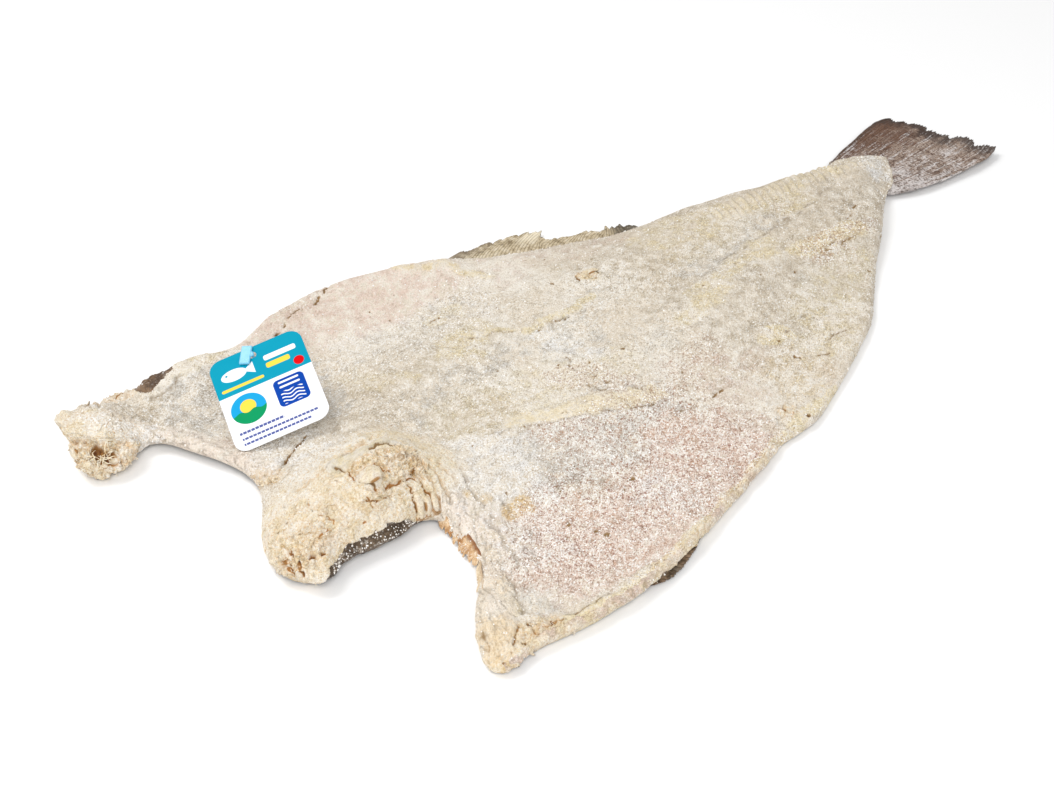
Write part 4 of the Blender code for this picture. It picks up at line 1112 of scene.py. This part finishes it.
def rim_fin(name, root, edge, rays, low, slant, seed):
    """A fin whose rays run from its root to its edge."""
    fin, out, across = fin_sheet(name, 24, rays * 5)
    inner = along(root, across)
    outer = along(edge, across + slant * out * (1 - across))
    flat = np.column_stack([across * 120, out * 12, out * 0])
    bite = 1 - ease((out - 0.75) / 0.25) * np.clip(noise(flat, 2.2, seed) * 0.2, 0, 0.16)
    layout = inner + (outer - inner) * (out * bite)[:, None]
    ray = np.abs(np.sin(across * rays * math.pi))
    height = low + 0.24 * ray * ease(out * 3) + 0.6 * noise(flat, 9, seed + 1) * out
    move_to(fin, np.column_stack([layout, height]))
    store(fin, "ray", ray)
    store(fin, "out", out)
    store(fin, "across", across)
    shape(fin, "SOLIDIFY", thickness=1.3 * MM, offset=0.0)
    fin.data.shade_smooth()
    return fin


rim_fins = [rim_fin("anal_fin", ANAL_ROOT, ANAL_EDGE, 58, 3.0, 0.16, 51),
            rim_fin("belly_fin", BELLY_ROOT, BELLY_EDGE, 18, 2.4, 0.05, 61)]
olive_fin, shader, start = new_material("olive_fin", {"Roughness": 0.6, "Specular IOR Level": 0.35})
mottle = start.lumps(190, 4, 0.7)
dust = start.lumps(620, 3, 0.7)
place = start.layer("across")
colour = mottle.ramp((0.32, tone(132, 114, 86)), (0.5, tone(197, 180, 149)), (0.68, tone(226, 214, 192)))
colour = colour.blend(start.layer("ray").between(0.5, 0.0) * 0.45, tone(110, 88, 60))
colour = colour.blend((place + (mottle - 0.5) * 0.6).between(0.22, 0.04) * 0.75, tone(128, 114, 98))
colour = colour.blend((place + (mottle - 0.5) * 0.3).between(0.78, 0.9) * 0.8, tone(54, 48, 42))
torn_end = place.between(0.31, 0.35) * place.between(0.44, 0.41) * start.layer("out").between(0.5, 0.8)
colour = colour.blend(torn_end * 0.85, tone(238, 226, 200))
colour = colour.blend(dust.between(0.56, 0.68) * 0.45, tone(206, 196, 178))
colour = colour.blend(start.layer("dark") * 0.85, mottle.between(0.38, 0.62).tones(tone(58, 40, 28), tone(118, 88, 64)))
connect(shader, {"Base Color": colour, "Normal": bumped(start, dust * 0.6 + start.layer("ray") * 0.5, 0.8 * MM)})
store(rim_fins[1], "dark", np.ones(len(rim_fins[1].data.vertices)))
for fin in rim_fins:
    fin.data.materials.append(olive_fin)
    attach(fin, "root")
    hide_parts("salted_cod")

# ---- The torn layers at the rims --------------------------------------------------------------------
# Thin tan membranes that hang torn under the right flap's front, and the raised lip of yellow flesh
# along the near rim. Each is a thin sheet laid from an upper edge to a lower, ragged one.

FLAP_LAYERS = [
    ("torn_membrane", [(-209, -42, 9), (-208.5, -52, 10.5), (-212, -64, 10), (-214.5, -74, 9), (-218, -82, 8)],
     [(-213.5, -44, 2.5), (-216.5, -58, 0.9), (-220.5, -69, 0.9), (-222, -75, 2.6), (-224, -83, 4)], 1.0),
    ("front_layer", [(-221, -84, 9), (-228, -93, 9.5), (-239, -105, 10), (-252, -121, 10), (-256, -128, 10)],
     [(-226, -86, 3.5), (-231.5, -92.5, 3), (-243.5, -104, 3), (-257.5, -120, 4.5), (-261, -129, 5)], 0.35)]


def layer_sheet(name, edges, long, wide, ragged_edge, seed):
    """A thin sheet between edges in space: the first is its root, and the last is torn by that much."""
    sheet, out, across = fin_sheet(name, wide, long)
    places = np.array([[np.interp(across, np.linspace(0, 1, len(edge)), np.array(edge, float)[:, k]) for k in range(3)]
                       for edge in edges]).transpose(0, 2, 1)
    steps = out * (len(edges) - 1)
    tear = np.column_stack([across * long * 0.6, across, across])
    steps *= 1 - ragged_edge * np.clip(0.25 + noise(tear, 2.6, seed) + 0.6 * noise(tear, 1.1, seed + 1), 0, 0.8)
    lower = np.minimum(steps.astype(int), len(edges) - 2)
    share = (steps - lower)[:, None]
    index = np.arange(len(out))
    spots = (1 - share) * places[lower, index] + share * places[lower + 1, index]
    spots += 0.5 * np.stack([noise(spots, 4, seed + k) for k in (2, 3, 4)], axis=1)
    spots[:, 2] = np.maximum(spots[:, 2], 0.5)
    move_to(sheet, spots)
    store(sheet, "out", out)
    shape(sheet, "SOLIDIFY", thickness=0.7 * MM, offset=0.0)
    shape(sheet, "SUBSURF", levels=1, render_levels=1)
    sheet.data.shade_smooth()
    return sheet


layers = [layer_sheet(name, (top, bottom), 80, 14, 0.45, 91) for name, top, bottom, tan in FLAP_LAYERS]
for sheet, (name, top, bottom, tan) in zip(layers, FLAP_LAYERS):
    store(sheet, "tan", np.full(len(sheet.data.vertices), tan))

# The lip follows the rim itself: each station finds the flesh's edge and its height there.
rim_line = along(RIM_EDGE, np.linspace(0, 1, 120))
heading = np.gradient(rim_line, axis=0)
heading /= np.hypot(heading[:, 0], heading[:, 1])[:, None]
outward = np.column_stack([heading[:, 1], -heading[:, 0]])
wander = noise(np.column_stack([rim_line, rim_line[:, :1]]), 9, 95)
sunk = noise(np.column_stack([rim_line, rim_line[:, :1]]), 13, 96)
ends = np.abs(np.linspace(-1, 1, 120)) ** 12
profile = np.empty((4, 120, 2))              # how far out each edge of the lip is, and how high
for k, (middle, ahead, out_to) in enumerate(zip(rim_line, heading, outward)):
    offsets = flesh_spots[:, :2] - middle
    slab = np.abs(offsets @ ahead) < 1.2
    reach = offsets[slab] @ out_to
    heights = flesh_spots[slab, 2]
    edge_at = reach[(np.abs(reach) < 14) & (heights > 3.0)].max()
    for row, (inset, rise) in enumerate([(3.6, -0.9), (1.8, 0.4), (0.4, -0.9), (0.0, -3.4)]):
        inset = inset + wander[k] * (1.8 if row < 3 else 0.2)
        rise = rise + (0.7 * sunk[k] if row == 1 else 0.0) - 2.0 * ends[k]
        at = edge_at - inset
        here = np.abs(reach - min(at, edge_at - 1.0)) < 1.0
        profile[row, k] = at, max(heights[here].max() + rise, 0.8)
steadied = np.stack([np.roll(profile, turn, axis=1) for turn in (-2, -1, 0, 1, 2)])
profile[:, 2:-2] = np.median(steadied, axis=0)[:, 2:-2]
lip_edges = [np.column_stack([rim_line + row[:, :1] * outward, row[:, 1]]) for row in profile]
lip = layer_sheet("rim_lip", lip_edges, 420, 14, 0.12, 97)
lip_spots = spots_of(lip)
move_to(lip, lip_spots + normals_of(lip) * (0.5 * noise(lip_spots, 3.4, 98) + 0.3 * noise(lip_spots, 1.6, 99))[:, None])
store(lip, "crust", np.full(len(lip_spots), 0.6))
store(lip, "cream", ease(0.55 + 0.6 * noise(lip_spots, 12, 93)))
store(lip, "salty", 0.6 * ease(0.1 + noise(lip_spots, 5, 90)))
store(lip, "yellow", 0.8 * ease(0.2 + noise(lip_spots, 7, 94)))
store(lip, "pink", ease(0.3 - noise(lip_spots, 12, 93)))
store(lip, "shadowed", ease((0.16 - np.abs(noise(lip_spots, 5, 92))) / 0.12) * 0.5)

thin_layer, shader, start = new_material("torn_layer", {"Roughness": 0.65, "Specular IOR Level": 0.3})
mottle = start.lumps(150, 4, 0.65)
fine = start.lumps(1500, 2, 0.7)
pleats = start.lumps(420, 3, 0.6, start.squeezed(0.0, (1.0, 1.0, 4.0)))
tan = start.layer("tan")
fleshy = mottle.ramp((0.35, tone(232, 212, 172)), (0.5, tone(243, 228, 198)), (0.65, tone(248, 240, 222)))
tanned = mottle.ramp((0.35, tone(176, 128, 82)), (0.5, tone(212, 174, 130)), (0.65, tone(234, 208, 172)))
colour = tan.tones(fleshy, tanned)
colour = colour.blend((fine * 0.6 + pleats * 0.4).between(0.5, 0.36) * 0.6, tan.tones(tone(190, 160, 110), tone(140, 88, 46)))
colour = colour.blend((fine * 0.6 + pleats * 0.4).between(0.52, 0.64) * 0.6, tone(253, 248, 236))
# Painted shade: each sheet darkens to brown at its root, where it hangs in the shadow under the flap
colour = colour.blend(start.layer("out").between(0.4, 0.1) * tan * 0.8, tone(126, 76, 40))
connect(shader, {"Base Color": colour, "Normal": bumped(start, pleats * 0.6 + fine * 0.5, 1.0 * MM)})
for sheet, finish in [(layers[0], thin_layer), (layers[1], thin_layer), (lip, salt_flesh)]:
    sheet.data.materials.append(finish)
    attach(sheet, "root")
    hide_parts("salted_cod")

# ---- The hanging label ------------------------------------------------------------------------------
# A stiff printed card with round corners and a punched hole, coated and a little glossy. Its print is
# plain fields, bars and simple shapes.

CARD_WIDTH, CARD_HEIGHT = 55.0, 65.5
card_place = Matrix.Translation(Vector((-219.6, 78.0, 26.6))) @ Euler(
    [math.radians(angle) for angle in (13.8, -15.9, -27.3)]).to_matrix().to_4x4()
card = free_copy(frame["nodes"]["label"], "hanging_label")
shape(card, "BEVEL", width=0.12 * MM, segments=2, limit_method="ANGLE", angle_limit=math.radians(50))
low, high = (np.array(corner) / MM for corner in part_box("label"))
card_spots = spots_of(card)
turn = np.array(card_place.to_3x3())
offset = (low + high) / 2
flat = (card_spots - offset) @ turn
flat -= (flat.min(axis=0) + flat.max(axis=0)) / 2
store(card, "right", flat[:, 0])
store(card, "rise", flat[:, 1])
store(card, "front", flat[:, 2] > 0)
pick(card)
bpy.ops.object.shade_smooth_by_angle(angle=math.radians(40))

printed_card, shader, start = new_material("printed_card", {"Roughness": 0.6, "Specular IOR Level": 0.08})
right = start.layer("right")
rise = start.layer("rise")
front = start.layer("front").between(0.4, 0.6)
SHARP = 0.12                 # how far, in millimetres, the ink's edge fades


def box(middle, size, corner):
    """1 inside a round-cornered box on the card, given its middle and size."""
    beside = ((right - middle[0]).math("ABSOLUTE") - (size[0] / 2 - corner)).math("MAXIMUM", 0.0)
    above = ((rise - middle[1]).math("ABSOLUTE") - (size[1] / 2 - corner)).math("MAXIMUM", 0.0)
    return (beside * beside + above * above).math("SQRT").between(corner + SHARP, corner - SHARP)


def oval(middle, size):
    """1 inside an oval, given its middle and its half sizes."""
    across, up = (right - middle[0]) * (1 / size[0]), (rise - middle[1]) * (1 / size[1])
    return (across * across + up * up).math("SQRT").between(1 + SHARP / size[1], 1 - SHARP / size[1])


def wedge(tip, length, spread):
    """1 inside a triangle that opens to the right of its tip."""
    out = right - tip[0]
    beyond = (rise - tip[1]).math("ABSOLUTE") - out * spread
    return beyond.between(SHARP, -SHARP) * out.between(length + SHARP, length - SHARP)


TURQUOISE, CLEAN_WHITE, PRINT_YELLOW = tone(0, 150, 178), tone(244, 246, 249), tone(248, 212, 76)
RED, BLUE, GREEN, SKY, TEXT_BLUE = (
    tone(218, 4, 18), tone(6, 68, 162), tone(8, 146, 92), tone(30, 158, 214), tone(84, 94, 152))
wave = (right * 0.75).math("SINE") * 0.7
dashed = (right * 0.42).math("FRACT").between(0.1, 0.2)
colour = start.lumps(300, 2).between(0.3, 0.7).tones(tone(240, 242, 247), tone(246, 248, 251))
for share, ink in [
        (rise.between(5.9, 6.1), TURQUOISE), (oval((-15, 19), (7.5, 4.0)), CLEAN_WHITE),
        (wedge((-9.5, 19), 6.5, 0.62), CLEAN_WHITE), (oval((-19.2, 20), (0.7, 0.7)), TURQUOISE),
        (box((13, 21.5), (19, 3.6), 1.2), CLEAN_WHITE), (box((10.5, 16), (14, 3.6), 1.2), PRINT_YELLOW),
        (oval((21.5, 11), (3.0, 3.0)), RED), (box((-12, 10.3), (25, 2.0), 1.0), PRINT_YELLOW),
        (oval((-13.5, -6.5), (10.2, 10.2)), SKY), (oval((-13.5, -5), (4.6, 4.6)), PRINT_YELLOW),
        (oval((-13.5, -6.5), (10.2, 10.2)) * (rise + wave).between(-8.0, -8.3), GREEN),
        (box((12, -6), (18, 19), 3.0), BLUE), (box((12, -2), (12, 1.3), 0.6), CLEAN_WHITE),
        (box((12, 1.2), (12, 1.3), 0.6), CLEAN_WHITE),
        (box((12, -9.5), (13, 9.0), 1.0) * ((rise + wave) * 0.42).math("FRACT").between(0.62, 0.72), CLEAN_WHITE),
        (box((-10, -21), (26, 1.7), 0.4) * dashed, TEXT_BLUE), (box((-0.5, -25), (44, 1.5), 0.4) * dashed, TEXT_BLUE),
        (box((-3, -28.6), (39, 1.5), 0.4) * dashed, TEXT_BLUE)]:
    colour = colour.blend(share * front, ink)
connect(shader, {"Base Color": colour})
card.data.materials.append(printed_card)
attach(card, "root")
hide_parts("label")

# ---- The plastic pin --------------------------------------------------------------------------------
# The moulded pin that holds the label: a flat paddle with rounded edges and a tab, on a shaft that goes
# through the card's hole into the flesh. Pale blue plastic with a soft gloss.

pin = free_copy(frame["nodes"]["label_pin"], "plastic_pin")
shape(pin, "REMESH", mode="VOXEL", voxel_size=0.16 * MM)
shape(pin, "SMOOTH", factor=0.5, iterations=4)
pin.data.shade_smooth()
pin_plastic, shader, start = new_material("pale_blue_plastic", {
    "Roughness": 0.3, "Specular IOR Level": 0.4, "Coat Weight": 0.15, "Coat Roughness": 0.2})
colour = start.lumps(260, 2, 0.5).tones(tone(104, 184, 220), tone(136, 204, 232))
connect(shader, {"Base Color": colour})
pin.data.materials.append(pin_plastic)
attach(pin, "root")
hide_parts("label_pin")

# ---- Floor, light and camera ------------------------------------------------------------------------
# A plain near-white floor under one large soft light and an even sky.

pick(left_side)
bpy.ops.mesh.primitive_plane_add(size=12.0)
floor = bpy.context.active_object
floor.name = "floor"
floor_white, shader, start = new_material("floor_white", {"Base Color": (0.95, 0.95, 0.95, 1.0), "Roughness": 0.9})
floor.data.materials.append(floor_white)

world = bpy.data.worlds.new("sky")
bpy.context.scene.world = world
world.use_nodes = True
world.node_tree.nodes["Background"].inputs["Color"].default_value = (1.0, 1.0, 1.0, 1.0)
world.node_tree.nodes["Background"].inputs["Strength"].default_value = 0.52


def soft_light(name, place, size, power):
    bpy.ops.object.light_add(type="AREA", location=place)
    light = bpy.context.active_object
    light.name = name
    light.data.shape = "DISK"
    light.data.size = size
    light.data.energy = power
    light.rotation_euler = (-Vector(place)).to_track_quat("-Z", "Y").to_euler()


soft_light("key_light", (-0.6, 1.0, 1.8), 1.2, 19.5)
soft_light("fill_light", (-1.1, -1.1, 1.5), 1.2, 25.0)

AZIMUTH, ELEVATION, DISTANCE = math.radians(-45.32), math.radians(38.0), 1.005
target = Vector((-0.1002, 0.0024, 0.0))
back = Vector((math.sin(AZIMUTH) * math.cos(ELEVATION), -math.cos(AZIMUTH) * math.cos(ELEVATION),
               math.sin(ELEVATION)))
bpy.ops.object.camera_add(location=target + back * DISTANCE)
camera = bpy.context.active_object
camera.rotation_euler = (-back).to_track_quat("-Z", "Y").to_euler()
camera.data.lens = 60.0
camera.data.sensor_width = 36.0
bpy.context.scene.camera = camera
bpy.context.scene.view_settings.view_transform = "Standard"
